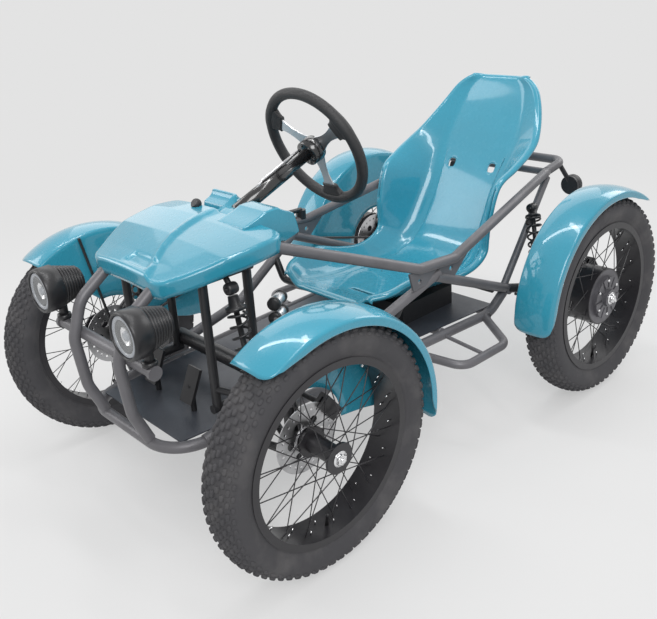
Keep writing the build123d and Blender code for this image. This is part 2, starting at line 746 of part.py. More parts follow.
def cover_section(row, inset):
    """A hood cross-section, closed at the foot of its skirts, or the hollow inside it."""
    y = row[0] * wheelbase
    half = row[1] * track - inset
    middle = row[2] * body_height - inset
    side = row[3] * body_height - inset
    foot = side - row[4] - inset * overrun
    points = [(-half, foot), (-half, side), (0, middle), (half, side), (half, foot)]
    face = make_face(Polyline(*points, close=True))
    return Plane(origin=(0, y, 0), x_dir=(1, 0, 0), z_dir=(0, -1, 0)) * face


outer = loft([cover_section(row, 0) for row in cover_shares], ruled=True)
inner = loft([cover_section(row, cover_wall) for row in cover_shares], ruled=True)
inner = Pos(0, cover_wall, 0) * inner
cowl_shares = [
    (-0.420, 0.740), (-0.408, 0.778), (-0.376, 0.824), (-0.312, 0.824), (-0.271, 0.778),
    (-0.258, 0.711), (-0.300, 0.700),
]
cowl_half_share = 0.160
cowl_half = cowl_half_share * track
column_slot_share = -0.440


def cowl_block(inset):
    """The raised block that the column passes through, or the hollow inside it."""
    points = [(y * wheelbase, z * body_height) for y, z in cowl_shares]
    face = make_face(Polyline(*points, close=True))
    if inset:
        face = offset(face, -inset)
    half = cowl_half - inset
    return Plane(origin=(-half, 0, 0), x_dir=(0, 1, 0), z_dir=(1, 0, 0)) * extrude(face, half * 2)


cover = (outer - inner) + (cowl_block(0) - cowl_block(cover_wall))
slot_start = on_column(column_slot_share * wheelbase)
slot_block = Box(column_slot, column_slot, wheelbase)
slot_turn = Plane(origin=slot_start, x_dir=(1, 0, 0), z_dir=column_axis)
cover = cover - slot_turn.location * Pos(0, column_slot_shift, wheelbase / 2) * slot_block
cover = without(cover, frame_so_far).solids().sort_by(SortBy.VOLUME)[-1]
parts["front_cover"] = cover

# Steering wheel in its own axes, the column down to its bearing
wheel_plane = Plane(origin=wheel_centre, x_dir=(1, 0, 0), z_dir=column_axis)
steering_rim = Solid.make_torus(steering_rim_radius, steering_grip_radius)
spoke_angles = (90, 210, 330)
spoke_set = []
for angle in spoke_angles:
    reach = steering_rim_radius
    arm = Pos(reach / 2, 0, 0) * Box(reach, steering_spoke_width, steering_spoke_wall)
    spoke_set.append(Rot(0, 0, angle) * arm)
steering_spokes = joined(spoke_set + [Cylinder(steering_boss_radius, steering_spoke_wall)])
steering_rim = steering_rim - steering_spokes
boss = Pos(0, 0, -steering_boss_height / 2 - steering_spoke_wall / 2)
boss = boss * Cylinder(steering_boss_radius, steering_boss_height)
column_length = (wheel_centre - lower_bearing).length + column_bearing_length / 2
column = Pos(0, 0, -column_length / 2) * Cylinder(column_radius, column_length - steering_spoke_wall)
parts["steering_wheel_rim"] = wheel_plane.location * steering_rim
parts["steering_wheel_spokes"] = wheel_plane.location * steering_spokes
parts["steering_column"] = wheel_plane.location * (boss + column)

# Headlamps: a finned tapering can with a lens, on a foot over the lamp bar's end
lamp_shares = (0.210, -0.7515, 0.638)
lamp_place = place(*lamp_shares)
lamp_axis = Plane(origin=lamp_place, x_dir=(1, 0, 0), z_dir=(0, -1, 0))
lamp_profile = make_face(Polyline(
    (0, 0), (lamp_lens_radius, 0), (lamp_lens_radius, lamp_lens_wall), (lamp_radius, lamp_lens_wall),
    (lamp_radius, -lamp_barrel), (lamp_rear_radius, -lamp_length), (0, -lamp_length), close=True))
lamp_can = revolve(Plane.XZ * lamp_profile, axis=Axis.Z)
for fin in range(lamp_fin_count):
    groove_reach = lamp_fin_wall * 2 * (fin + 1)
    ring = Cylinder(lamp_radius + overrun, lamp_fin_wall)
    taper = (lamp_radius - lamp_rear_radius) * groove_reach / (lamp_length - lamp_barrel)
    ring = ring - Cylinder(lamp_radius - taper - lamp_fin_depth, lamp_fin_wall * 2)
    lamp_can = lamp_can - Pos(0, 0, -lamp_barrel - groove_reach) * ring
lens = Pos(0, 0, lamp_lens_wall / 2) * Cylinder(lamp_lens_radius - fit_gap, lamp_lens_wall - fit_gap)
lamp_foot_top = Vector(lamp_place.X, lamp_bar_end.Y, lamp_place.Z)
lamp_foot_low = Vector(lamp_place.X, lamp_bar_end.Y, lamp_bar_end.Z)
lamp_foot = bar(lamp_foot_low, lamp_foot_top, light_tube)
headlamp = lamp_axis.location * lamp_can + lamp_foot
headlamp = without(headlamp, [parts["front_hoops"]])
headlamp = headlamp.solids().sort_by(SortBy.VOLUME)[-1]
headlamp_lens = lamp_axis.location * lens
parts["headlamps"] = Compound([headlamp, mirrored(headlamp)])
parts["headlamp_lenses"] = Compound([headlamp_lens, mirrored(headlamp_lens)])

# Tail lamps on stalks from the rear hoop
tail_shares = (0.243, 0.735, 0.590)
tail_place = place(*tail_shares)
tail_can = Pos(tail_place) * Rot(quarter_turn, 0, 0) * Cylinder(tail_lamp_radius, tail_lamp_wall)
stalk_share = 0.75
stalk_root = rear_hoop_points[0] + (rear_hoop_points[1] - rear_hoop_points[0]) * stalk_share
tail_lamp = without(tail_can + bar(stalk_root, tail_place, axle_radius), [parts["rear_hoop"]])
tail_lamp = tail_lamp.solids().sort_by(SortBy.VOLUME)[-1]
parts["tail_lamps"] = Compound([tail_lamp, mirrored(tail_lamp)])

# Front arms: two wishbones on each side, joined by the kingpin that carries the knuckle
boss_shift = kingpin_barrel_height / 2 + kingpin_boss_height / 2 + fit_gap
boss_step = Vector(0, 0, boss_shift)
arm_pieces = [bar(kingpin_foot - boss_step, kingpin_foot + boss_step, kingpin_radius)]
for level in (-1, 1):
    eye = kingpin_foot + boss_step * level
    arm_pieces.append(Pos(eye) * Cylinder(kingpin_barrel_radius, kingpin_boss_height))
    for y in bulkhead_places:
        root = Vector(bulkhead_x, y, eye.Z) if level > 0 else Vector(side_x(y), y, floor_level)
        arm_pieces.append(bar(root, eye, arm_tube))
shock_foot = front_shock_ends[0]
pin_ends = []
for y in bulkhead_places:
    pin_share = (kingpin_foot.X - shock_foot.X) / (kingpin_foot.X - side_x(y))
    pin_ends.append(Vector(shock_foot.X, kingpin_foot.Y + (y - kingpin_foot.Y) * pin_share, shock_foot.Z))
arm_pieces.append(bar(*pin_ends, shock_pin_radius))
front_arm = without(joined(arm_pieces), [parts["front_bulkhead"], side_frame, parts["floor_frame"]])
front_arm = front_arm.solids().sort_by(SortBy.VOLUME)[-1]
parts["front_arms"] = Compound([front_arm, mirrored(front_arm)])


shock_can_start_share = 0.20
shock_can_end_share = 0.85
shock_coil_share = 0.60


def shock(foot, head):
    """A coil-over: two eyes, a rod and a stack of coils on a can."""
    line = head - foot
    pieces = [bar(foot, head, shock_rod_radius)]
    for end in (foot, head):
        eye_turn = Rot(quarter_turn, 0, 0)
        pieces.append(Pos(end) * eye_turn * Cylinder(shock_eye_radius, shock_eye_radius * 2))
    can_start = foot + line * shock_can_start_share
    pieces.append(bar(can_start, foot + line * shock_can_end_share, shock_rod_radius * 2))
    pitch = line * ((shock_can_end_share - shock_can_start_share) / shock_coil_count)
    for coil in range(shock_coil_count):
        low = can_start + pitch * coil
        pieces.append(bar(low, low + pitch * shock_coil_share, shock_spring_radius))
    return joined(pieces)


rear_shock_shares = [(0.350, 0.435, 0.385), (0.255, 0.520, 0.570)]
front_shock = shock(*front_shock_ends)
front_shock = without(front_shock, [front_arm, parts["front_bulkhead"]])
front_shock = front_shock.solids().sort_by(SortBy.VOLUME)[-1]
parts["front_shocks"] = Compound([front_shock, mirrored(front_shock)])

# Rear arms: from the frame's pivot to the motor's axle, with the fender's stays
arm_head = rear_place.position - Vector(kingpin_offset, 0, 0)
arm_root = Vector(pivot_place.X, pivot_place.Y, pivot_place.Z)
rear_arm = joined([
    rear_place * rear_axle_set,
    bar(arm_root, arm_head, frame_tube),
    Pos(arm_head) * Rot(0, quarter_turn, 0) * Cylinder(axle_plate_radius, frame_tube),
    bar(arm_head, place(*rear_shock_shares[0]), arm_tube),
])
rear_arm = without(rear_arm, [side_frame, parts["floor_frame"]])
rear_arm = rear_arm.solids().sort_by(SortBy.VOLUME)[-1]
parts["rear_arms"] = Compound([rear_arm, mirrored(rear_arm)])
front_caliper = without(front_place * caliper_piece, [knuckle])
rear_caliper = without(rear_place * caliper_piece, [rear_arm])
parts["brake_caliper_front_left"] = front_caliper
parts["brake_caliper_front_right"] = mirrored(front_caliper)
parts["brake_calipers_rear"] = Compound([rear_caliper, mirrored(rear_caliper)])
rear_shock = without(shock(*places(rear_shock_shares)), [rear_arm, side_frame])
rear_shock = rear_shock.solids().sort_by(SortBy.VOLUME)[-1]
parts["rear_shocks"] = Compound([rear_shock, mirrored(rear_shock)])

# Pedals on the front of the floor plate
pedal_shares = (0.085, -0.560, 0.370)
pedal_pad = Box(pedal_width, pedal_wall, pedal_length)
pedal_foot = plate_level + plate_wall
pedal_spot = place(*pedal_shares)
pedal_stem = bar(Vector(pedal_spot.X, pedal_spot.Y, pedal_foot), pedal_spot, axle_radius)
pedal = Pos(pedal_spot) * Rot(pedal_lean, 0, 0) * pedal_pad + pedal_stem
pedal = pedal.solids().sort_by(SortBy.VOLUME)[-1]
parts["pedals"] = Compound([pedal, mirrored(pedal)])

# Parking lever on the right rail
lever_shares = [(-0.319, 0.090, 0.590), (-0.300, -0.010, 0.600)]
lever_points = places(lever_shares)
lever_clamp = bar(lever_points[0] - Vector(0, 0, frame_tube * 2), lever_points[0], pivot_radius)
lever = joined([lever_clamp, bar(lever_points[0], lever_points[1], axle_radius)])
lever = without(lever, [side_pair[1]]).solids().sort_by(SortBy.VOLUME)[-1]
parts["parking_lever"] = lever

# Sleeve grip on the right upper rail and the knob on the cover
grip_shares = (0.010, 0.050)
grip_wall = 4.0
rail_run = [Vector(-point.X, point.Y, point.Z) for point in upper_points[3:5]]
grip_ends = []
for share in grip_shares:
    reach = (share * wheelbase - rail_run[0].Y) / (rail_run[1].Y - rail_run[0].Y)
    grip_ends.append(rail_run[0] + (rail_run[1] - rail_run[0]) * reach)
grip = bar(*grip_ends, frame_tube + grip_wall) - bar(*rail_run, frame_tube + fit_gap)
parts["rail_grip"] = without(grip, [side_pair[1]]).solids().sort_by(SortBy.VOLUME)[-1]
knob_shares = (-0.100, -0.385, 0.765)
knob_radius = 14.0
knob_rise = 22.0
knob_foot = place(*knob_shares)
knob = bar(knob_foot, knob_foot + Vector(0, 0, knob_rise), axle_radius)
knob = knob + Pos(knob_foot + Vector(0, 0, knob_rise)) * Sphere(knob_radius)
parts["cover_knob"] = without(knob, [cover]).solids().sort_by(SortBy.VOLUME)[-1]

os.makedirs("parts", exist_ok=True)
for name, shape in parts.items():
    export_step(shape, "parts/" + name + ".step")
print(len(parts), "pieces written")
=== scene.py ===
# %% [markdown]
# # An electric quadricycle
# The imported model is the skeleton: its frame tubes, wheels and seat are already in place, in metres, with
# +Z up and -Y the way the vehicle faces. This file dresses it. Each step makes one group of pieces or
# one finish, and every piece is tied to the rigid body that carries it on the real vehicle.

# %% Load the skeleton
import json
import bpy
import numpy as np
from mathutils import Matrix


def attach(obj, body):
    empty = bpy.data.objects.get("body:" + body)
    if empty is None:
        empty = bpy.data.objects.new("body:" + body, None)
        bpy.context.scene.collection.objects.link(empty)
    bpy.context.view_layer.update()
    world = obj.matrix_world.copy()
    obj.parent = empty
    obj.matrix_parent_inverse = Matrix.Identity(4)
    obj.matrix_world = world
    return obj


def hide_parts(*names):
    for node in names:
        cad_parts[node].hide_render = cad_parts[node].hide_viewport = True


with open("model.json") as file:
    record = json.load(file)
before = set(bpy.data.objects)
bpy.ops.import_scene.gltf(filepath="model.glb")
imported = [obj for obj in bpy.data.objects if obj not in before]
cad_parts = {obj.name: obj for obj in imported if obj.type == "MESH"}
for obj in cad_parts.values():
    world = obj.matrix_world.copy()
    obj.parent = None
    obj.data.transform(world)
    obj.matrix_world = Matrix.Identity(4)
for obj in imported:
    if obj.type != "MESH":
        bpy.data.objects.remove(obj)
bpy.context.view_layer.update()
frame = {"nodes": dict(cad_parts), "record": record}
nodes = frame["nodes"]
scene = bpy.context.scene
scene.view_settings.view_transform = "Standard"

# %% [markdown]
# ## Arrays into meshes
# A mesh here is a pair: an array of points, and a list of face arrays. Most shapes are a grid, where a
# point's place is a function of two parameters. Whole arrays are worked out at once, which is short to
# write and quick to run, and Blender gets them in one call.

# %% Grids, sweeps and turned shapes
TAU = 2 * np.pi


def grid_faces(rows, columns, wrap_rows=False, wrap_columns=False):
    """Quads of a grid: each joins a point with its next neighbours, wrapping round where asked."""
    r = np.arange(rows if wrap_rows else rows - 1)[:, None]
    c = np.arange(columns if wrap_columns else columns - 1)[None, :]
    r2, c2 = (r + 1) % rows, (c + 1) % columns
    corner = [r * columns + c, r * columns + c2, r2 * columns + c2, r2 * columns + c]
    return np.stack([np.broadcast_to(k, (r.shape[0], c.shape[1])) for k in corner], -1).reshape(-1, 4)


def sheet_of(points, wrap_rows=False, wrap_columns=False):
    """The mesh of a (rows, columns, 3) array of points."""
    rows, columns = points.shape[:2]
    return points.reshape(-1, 3), [grid_faces(rows, columns, wrap_rows, wrap_columns)]


def unit(v):
    """Vectors divided by their lengths."""
    return v / np.maximum(np.linalg.norm(v, axis=-1, keepdims=True), 1e-12)


def along(path, profile, up=(0, 0, 1), closed=False, scale=None):
    """A closed profile carried along a path: point = path + side * u + top * v, side = tangent x up."""
    path, profile = np.asarray(path, float), np.asarray(profile, float)
    if closed:
        tangent = np.roll(path, -1, 0) - np.roll(path, 1, 0)
    else:
        tangent = np.gradient(path, axis=0)
    side = unit(np.cross(unit(tangent), np.asarray(up, float)))
    top = unit(np.cross(side, unit(tangent)))
    size = np.ones(len(path)) if scale is None else np.asarray(scale, float)
    points = (path[:, None] + side[:, None] * profile[None, :, :1] * size[:, None, None]
              + top[:, None] * profile[None, :, 1:] * size[:, None, None])
    verts, faces = sheet_of(points, wrap_rows=closed, wrap_columns=True)
    if not closed:
        last = len(verts) - len(profile)
        faces = faces + [np.arange(len(profile))[None, ::-1], np.arange(last, len(verts))[None]]
    return verts, faces


def ring(radius, count=12, flat=1.0):
    """A round profile: radius times (cos a, flat sin a)."""
    a = np.arange(count) / count * TAU
    return np.stack([radius * np.cos(a), radius * flat * np.sin(a)], 1)


def turned(profile, count=48, start=(0, 0, 0), axis=(1, 0, 0)):
    """A profile of (place, radius) turned about an axis: point = start + axis * place + radius * around."""
    profile = np.asarray(profile, float)
    axis = unit(np.asarray(axis, float))
    side = unit(np.cross(axis, (0.3, 0.5, 0.8)))
    other = np.cross(axis, side)
    a = np.arange(count) / count * TAU
    around = np.cos(a)[:, None] * side + np.sin(a)[:, None] * other
    points = (np.asarray(start) + axis * profile[None, :, :1] + around[:, None] * profile[None, :, 1:])
    return sheet_of(points, wrap_rows=True)


def capped(profile):
    """A profile that starts and ends on the axis, so that the turned shape is closed."""
    profile = list(profile)
    return [(profile[0][0], 0.0)] + profile + [(profile[-1][0], 0.0)]


def smooth_line(points, count, closed=False):
    """A smooth line through points: each run is a cubic whose end slopes are half the neighbours' gap."""
    p = np.asarray(points, float)
    ends = (p[-1:], p[:2]) if closed else (p[:1] * 2 - p[1:2], p[-1:] * 2 - p[-2:-1])
    q = np.concatenate([ends[0], p, ends[1]])
    runs = len(p) if closed else len(p) - 1
    t = np.linspace(0, runs, count, endpoint=not closed)
    k = np.minimum(t.astype(int), runs - 1)
    f = (t - k)[:, None]
    a, b, c, d = q[k], q[k + 1], q[k + 2], q[k + 3]
    return b + 0.5 * f * (c - a + f * (2 * a - 5 * b + 4 * c - d + f * (3 * (b - c) + d - a)))


def merged(meshes):
    """Several meshes as one: points are stacked, and face numbers move up by the points before."""
    verts, faces, base = [], [], 0
    for v, f in meshes:
        verts.append(v)
        faces.extend(k + base for k in f)
        base += len(v)
    return np.concatenate(verts), faces


def copies(mesh, turns, shifts):
    """Copies of a mesh: each is turned by its 3 x 3 matrix and then moved, all in one product."""
    verts, faces = mesh
    placed = np.einsum("nij,vj->nvi", np.asarray(turns), verts) + np.asarray(shifts)[:, None]
    base = np.arange(len(placed))[:, None, None] * len(verts)
    return placed.reshape(-1, 3), [(f[None] + base).reshape(-1, f.shape[1]) for f in faces]


def flipped(mesh):
    """The same mesh on the other side of the middle plane, with its faces turned to point outwards."""
    return mesh[0] * (-1, 1, 1), [f[:, ::-1] for f in mesh[1]]


# %% [markdown]
# ## From arrays to a piece
# A finished piece is one object at the origin, with its place in its mesh. Normals are worked out again
# after double points are merged, so that seams close and every face points outwards.

# %% Put a mesh in the scene
counts = {}


def piece(name, mesh, finish, body, weld=1e-5, wall=0, bevel=0, smooth=40, replaces=()):
    """An object of one mesh and one finish that rides on a body, with an optional wall and bevel."""
    verts, faces = mesh
    data = bpy.data.meshes.new(name)
    data.from_pydata(verts.tolist(), [], [f for block in faces for f in block.tolist()])
    thing = bpy.data.objects.new(name, data)
    scene.collection.objects.link(thing)
    bpy.ops.object.select_all(action="DESELECT")
    bpy.context.view_layer.objects.active = thing
    thing.select_set(True)
    bpy.ops.object.mode_set(mode="EDIT")
    bpy.ops.mesh.select_all(action="SELECT")
    if weld:
        bpy.ops.mesh.remove_doubles(threshold=weld)
    bpy.ops.mesh.normals_make_consistent(inside=False)
    bpy.ops.object.mode_set(mode="OBJECT")
    data.shade_smooth()
    if wall:
        solid = thing.modifiers.new("wall", "SOLIDIFY")
        solid.thickness, solid.offset = abs(wall), -1 if wall > 0 else 1
    if bevel:
        edge = thing.modifiers.new("edge", "BEVEL")
        edge.width, edge.segments, edge.limit_method = bevel, 2, "ANGLE"
        edge.harden_normals = True
    bpy.ops.object.shade_auto_smooth(angle=np.radians(smooth))
    thing.select_set(False)
    data.materials.append(finish.data)
    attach(thing, body)
    if replaces:
        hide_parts(*replaces)
    counts[name] = len(data.polygons)
    return thing


# %% [markdown]
# ## Shader maths as Python
# A finish is a Principled shader with a few textures in front of it. `Signal` wraps an output socket, so
# that `noise * 0.3 + 0.5` adds the Math nodes it needs. Whatever is the same all over a surface is set
# on the shader's own socket.

# %% A signal and a finish
class Signal:
    """A socket of a finish's node tree that can be added, multiplied and so on."""

    def __init__(self, finish, socket):
        self.finish, self.socket = finish, socket

    def math(self, operation, *values):
        return self.finish.node("ShaderNodeMath", {"operation": operation}, dict(enumerate(values)))

    def __add__(self, other):
        return self.math("ADD", self, other)

    def __sub__(self, other):
        return self.math("SUBTRACT", self, other)

    def __rsub__(self, other):
        return self.math("SUBTRACT", other, self)

    def __mul__(self, other):
        return self.math("MULTIPLY", self, other)

    __radd__, __rmul__ = __add__, __mul__

    def step(self, low, high):
        """0 below low, 1 above high, and a straight ramp between."""
        return self.finish.node("ShaderNodeMapRange", {"clamp": True},
                                {"Value": self, "From Min": low, "From Max": high})


class Finish:
    """A material: constants go on the shader, and textures come from one node method."""

    def __init__(self, name, colour, roughness, metallic=0.0, **constants):
        self.data = bpy.data.materials.new(name)
        self.data.use_nodes = True
        self.tree = self.data.node_tree
        self.shader = self.tree.nodes["Principled BSDF"]
        self.place = self.node("ShaderNodeTexCoord", output="Object")
        self.set("Base Color", (*colour, 1.0))
        self.set("Roughness", roughness)
        self.set("Metallic", metallic)
        for key, value in constants.items():
            self.set(key.replace("_", " ").title().replace("Ior", "IOR"), value)

    def set(self, socket, value):
        target = self.shader.inputs[socket]
        if isinstance(value, Signal):
            self.tree.links.new(value.socket, target)
        else:
            target.default_value = value

    def node(self, kind, settings=None, sockets=None, output=0):
        made = self.tree.nodes.new(kind)
        for key, value in (settings or {}).items():
            setattr(made, key, value)
        for key, value in (sockets or {}).items():
            if isinstance(value, Signal):
                self.tree.links.new(value.socket, made.inputs[key])
            else:
                made.inputs[key].default_value = value
        return Signal(self, made.outputs[output])

    def noise(self, scale, detail=3.0, roughness=0.55, stretch=None):
        place = self.place
        if stretch:
            place = self.node("ShaderNodeMapping", None, {"Vector": place, "Scale": stretch})
        return self.node("ShaderNodeTexNoise", None, {"Vector": place, "Scale": scale, "Detail": detail,
                                                      "Roughness": roughness})

    def cells(self, scale, feature="F1"):
        return self.node("ShaderNodeTexVoronoi", {"feature": feature},
                         {"Vector": self.place, "Scale": scale})

    def mix(self, amount, first, second):
        return self.node("ShaderNodeMix", {"data_type": "RGBA"}, {0: amount, 6: first, 7: second}, 2)

    def bump(self, signal, depth, strength=1.0):
        self.set("Normal", self.node("ShaderNodeBump", None, {"Height": signal, "Distance": depth,
                                                             "Strength": strength}))


def tone(colour, factor):
    """A colour made lighter or darker, as a four-part colour."""
    return (*[min(1.0, c * factor) for c in colour[:3]], 1.0)


# %% [markdown]
# ## Body colour
# The seat, the front cover and the mudguards are moulded in one teal and lacquered. Wide soft streaks of
# tint stop it from looking like a swatch, a fine ripple bends the lamps' reflections, and the gloss
# varies a little over small patches.

# %% Gloss teal
TEAL = (0.030, 0.262, 0.372)
teal = Finish("gloss_teal", TEAL, 0.30, coat_weight=1.0, coat_roughness=0.05, coat_ior=1.42,
              specular_ior_level=0.3)
cloud = teal.noise(3.0, 4.0)
teal.set("Base Color", teal.mix(cloud.step(0.35, 0.7), tone(TEAL, 0.93), tone(TEAL, 1.08)))
teal.set("Roughness", teal.noise(40.0, 3.0) * 0.10 + 0.22)
teal.bump(teal.noise(260.0, 2.0) + teal.noise(14.0, 2.0) * 2.0, 0.00022, 0.6)

# %% [markdown]
# ## Frame colour
# The tubes are steel with a grey powder coat. Powder dries to a fine orange peel, so a small noise
# raises the surface, and the grey drifts slightly along each tube.

# %% Powder coat, black coat and plate
def powder(name, colour, roughness, grain=900.0, depth=0.00012, **constants):
    """A satin coat: tint drifts with a slow noise, and a fine noise gives the grain."""
    coat = Finish(name, colour, roughness, **constants)
    drift = coat.noise(9.0, 4.0).step(0.3, 0.75)
    coat.set("Base Color", coat.mix(drift, tone(colour, 0.82), tone(colour, 1.2)))
    coat.set("Roughness", coat.noise(60.0, 3.0) * 0.16 + (roughness - 0.08))
    coat.bump(coat.noise(grain, 2.0), depth, 0.5)
    return coat


frame_grey = powder("frame_powder_coat", (0.128, 0.125, 0.134), 0.42, metallic=0.15)
satin_black = powder("satin_black_coat", (0.018, 0.018, 0.020), 0.36, metallic=0.1)
rim_black = powder("rim_black_coat", (0.024, 0.023, 0.026), 0.34, metallic=0.1)
motor_grey = powder("motor_casting", (0.115, 0.113, 0.124), 0.40, 500.0, 0.0002, metallic=0.35)
floor_metal = powder("floor_plate_coat", (0.060, 0.066, 0.080), 0.38, 300.0, 0.0003, metallic=0.25)
gloss_black = powder("gloss_black_enamel", (0.010, 0.010, 0.011), 0.24, 400.0, 0.00004, coat_weight=0.8)
black_mould = powder("black_moulding", (0.016, 0.016, 0.018), 0.48, 1200.0, 0.0002)

# %% [markdown]
# ## Bare metal
# Discs, nipples, bolts and the wheel's spokes are bare metal. Turned and rolled metal has fine lines
# one way, made by a noise that is squeezed along two axes.

# %% Steel and alloy
def bare(name, colour, roughness, stretch=(4.0, 300.0, 300.0)):
    """A bare metal: a stretched noise moves its roughness and gives fine lines."""
    metal = Finish(name, colour, roughness, metallic=1.0)
    lines = metal.noise(3.0, 4.0, stretch=stretch)
    metal.set("Roughness", lines * 0.22 + (roughness - 0.08))
    metal.set("Base Color", metal.mix(lines, tone(colour, 0.85), tone(colour, 1.1)))
    metal.bump(lines, 0.00008, 0.4)
    return metal


steel = bare("ground_steel", (0.56, 0.56, 0.57), 0.30)
alloy = bare("brushed_alloy", (0.66, 0.67, 0.69), 0.30)
bright = Finish("bright_plating", (0.80, 0.80, 0.81), 0.12, metallic=1.0)
bright.set("Roughness", bright.noise(80.0, 3.0) * 0.12 + 0.08)

# %% [markdown]
# ## Rubber and leather
# Tyre rubber is matt and picks up pale dust between its knobs. The wheel's grip is a soft grained
# sleeve: cells give the grain of leather. The green sleeve on the rail is plain moulded rubber.

# %% Rubber
RUBBER = (0.060, 0.059, 0.064)
rubber = Finish("tyre_rubber", RUBBER, 0.78, specular_ior_level=0.35)
dust = rubber.noise(14.0, 5.0).step(0.48, 0.80)
rubber.set("Base Color", rubber.mix(dust * 0.55, tone(RUBBER, 0.9), (0.130, 0.124, 0.124, 1.0)))
rubber.set("Roughness", rubber.noise(30.0, 3.0) * 0.2 + 0.66)
rubber.bump(rubber.noise(420.0, 3.0), 0.0004, 0.6)

grip_hide = Finish("grip_hide", (0.022, 0.022, 0.024), 0.5)
grain = grip_hide.cells(420.0, "DISTANCE_TO_EDGE").step(0.0, 0.25)
grip_hide.set("Base Color", grip_hide.mix(grain, (0.012, 0.012, 0.013, 1), (0.028, 0.028, 0.030, 1)))
grip_hide.set("Roughness", 0.60 - grain * 0.16)
grip_hide.bump(grain, 0.0003, 0.6)

leaf_green = Finish("green_sleeve", (0.030, 0.360, 0.045), 0.45)
leaf_green.set("Roughness", leaf_green.noise(90.0, 3.0) * 0.2 + 0.35)
leaf_green.bump(leaf_green.noise(500.0, 2.0), 0.0003, 0.5)

# %% [markdown]
# ## Lamp glass
# The headlamp's glass is clear. The tail lamp's red glass is deep and glossy, with faint cells as in a
# moulded reflector.

# %% Glass and lamp colours
clear = Finish("clear_glass", (0.92, 0.95, 0.96), 0.03, transmission_weight=0.0, ior=1.45)
clear.set("Alpha", clear.noise(30.0, 2.0) * 0.04 + 0.16)
frosted = Finish("frosted_ring", (0.28, 0.30, 0.33), 0.30, coat_weight=0.4)
frosted.set("Roughness", frosted.noise(200.0, 2.0) * 0.2 + 0.2)
ruby = Finish("ruby_glass", (0.16, 0.004, 0.006), 0.12, coat_weight=1.0)
ruby_cells = ruby.cells(320.0, "DISTANCE_TO_EDGE").step(0.0, 0.3)
ruby.set("Base Color", ruby.mix(ruby_cells, (0.06, 0.002, 0.003, 1), (0.20, 0.006, 0.008, 1)))
ruby.bump(ruby_cells, 0.0006, 0.5)

# %% [markdown]
# ## Finishes for the skeleton's own nodes
# Most nodes keep their shape and only need the right finish. One table names the finish of each
# material slot, and a loop hands them out.

# %% Dress the nodes
slot_finish = {
    "frame_paint": frame_grey, "body_blue": teal, "tyre_rubber": rubber, "rim_black": rim_black,
    "motor_case": motor_grey, "steel": steel, "black_metal": satin_black, "black_plastic": black_mould,
    "grip": grip_hide, "alloy": alloy, "lens": clear, "plate": floor_metal, "grip_green": leaf_green,
}
for part in frame["record"]["subparts"]:
    thing = nodes[part["node"]]
    thing.data.materials.clear()
    dark = part["node"] in ("front_bulkhead", "seat_bearers")
    thing.data.materials.append((satin_black if dark else slot_finish[part["material_slot"]]).data)

# %% [markdown]
# ## Wheel axes
# A wheel's pieces are worked out once, about its own axle with X outboard, and then placed at four
# stations. The front wheels lean inwards at the foot by a small camber, and the right side is a mirror.

# %% Stations
# Columns: name, side, place along the vehicle, camber in degrees, axle height
STATIONS = [("front_left", 1, -0.545, 2.9, 0.29469), ("front_right", -1, -0.545, 2.9, 0.29469),
            ("rear_left", 1, 0.545, 0.0, 0.295), ("rear_right", -1, 0.545, 0.0, 0.295)]
HALF_TRACK = 0.470


def to_station(mesh, row):
    """Wheel axes to the vehicle's: a turn about Y by the camber, a shift, and a mirror on the right."""
    name, side, y, camber, height = row
    c, s = np.cos(np.radians(camber)), np.sin(np.radians(camber))
    turn = np.array([[c, 0, s], [0, 1, 0], [-s, 0, c]])
    placed = (mesh[0] @ turn.T + (HALF_TRACK, y, height), mesh[1])
    return placed if side > 0 else flipped(placed)


def about_axle(count, start=0.0):
    """Turn matrices about X at equal steps."""
    a = (np.arange(count) + start) / count * TAU
    c, s, zero, one = np.cos(a), np.sin(a), np.zeros(count), np.ones(count)
    return np.stack([one, zero, zero, zero, c, -s, zero, s, c], 1).reshape(-1, 3, 3)


# %% [markdown]
# ## Tyres
# The tyres are fat and knobby, for sand and snow. The casing is a smooth profile turned about the axle,
# with fine rings moulded in its sidewall. The knobs could be a texture, but they break the outline, so
# each is a small block with a narrower top, copied round in staggered rows.

# %% Casing
# Columns: half width and radius, in millimetres, from the bead to the middle of the tread
half_casing = np.array([
    (36.5, 207), (37.5, 214), (37.5, 222), (40.5, 228), (46, 237), (49.6, 249), (49.8, 259),
    (47.4, 268), (42, 276.5), (33, 283), (21, 287.6), (8, 289.8)]) / 1000
casing_line = smooth_line(np.concatenate([half_casing, half_casing[::-1] * (-1, 1)]), 90)
# Two rings on each sidewall. Columns: radius, height, half width
SIDE_RINGS = [(0.2265, 0.0006, 0.0012), (0.2600, 0.0005, 0.001)]
outwards = np.sign(casing_line[:, 0])
for ring_at, ring_height, ring_half in SIDE_RINGS:
    casing_line[:, 0] += outwards * ring_height * np.exp(-((casing_line[:, 1] - ring_at) / ring_half) ** 2)
casing = turned(casing_line, 120)


def knob(length, width, height, taper=0.72):
    """A block on the Z axis: a base outline, a belt at two thirds and a narrower, rounded top."""
    a = np.arange(8) / 8 * TAU + TAU / 16
    shape = np.stack([np.sign(np.cos(a)) * np.abs(np.cos(a)) ** 0.6 * width,
                      np.sign(np.sin(a)) * np.abs(np.sin(a)) ** 0.6 * length], 1) / 2 * 1.12
    levels = [(-0.004, 1.06), (height * 0.62, 0.94), (height * 0.94, taper), (height, taper * 0.62)]
    points = np.stack([np.concatenate([shape * k, np.full((8, 1), z)], 1) for z, k in levels])
    verts, faces = sheet_of(points, wrap_columns=True)
    return verts, faces + [np.arange(24, 32)[None]]


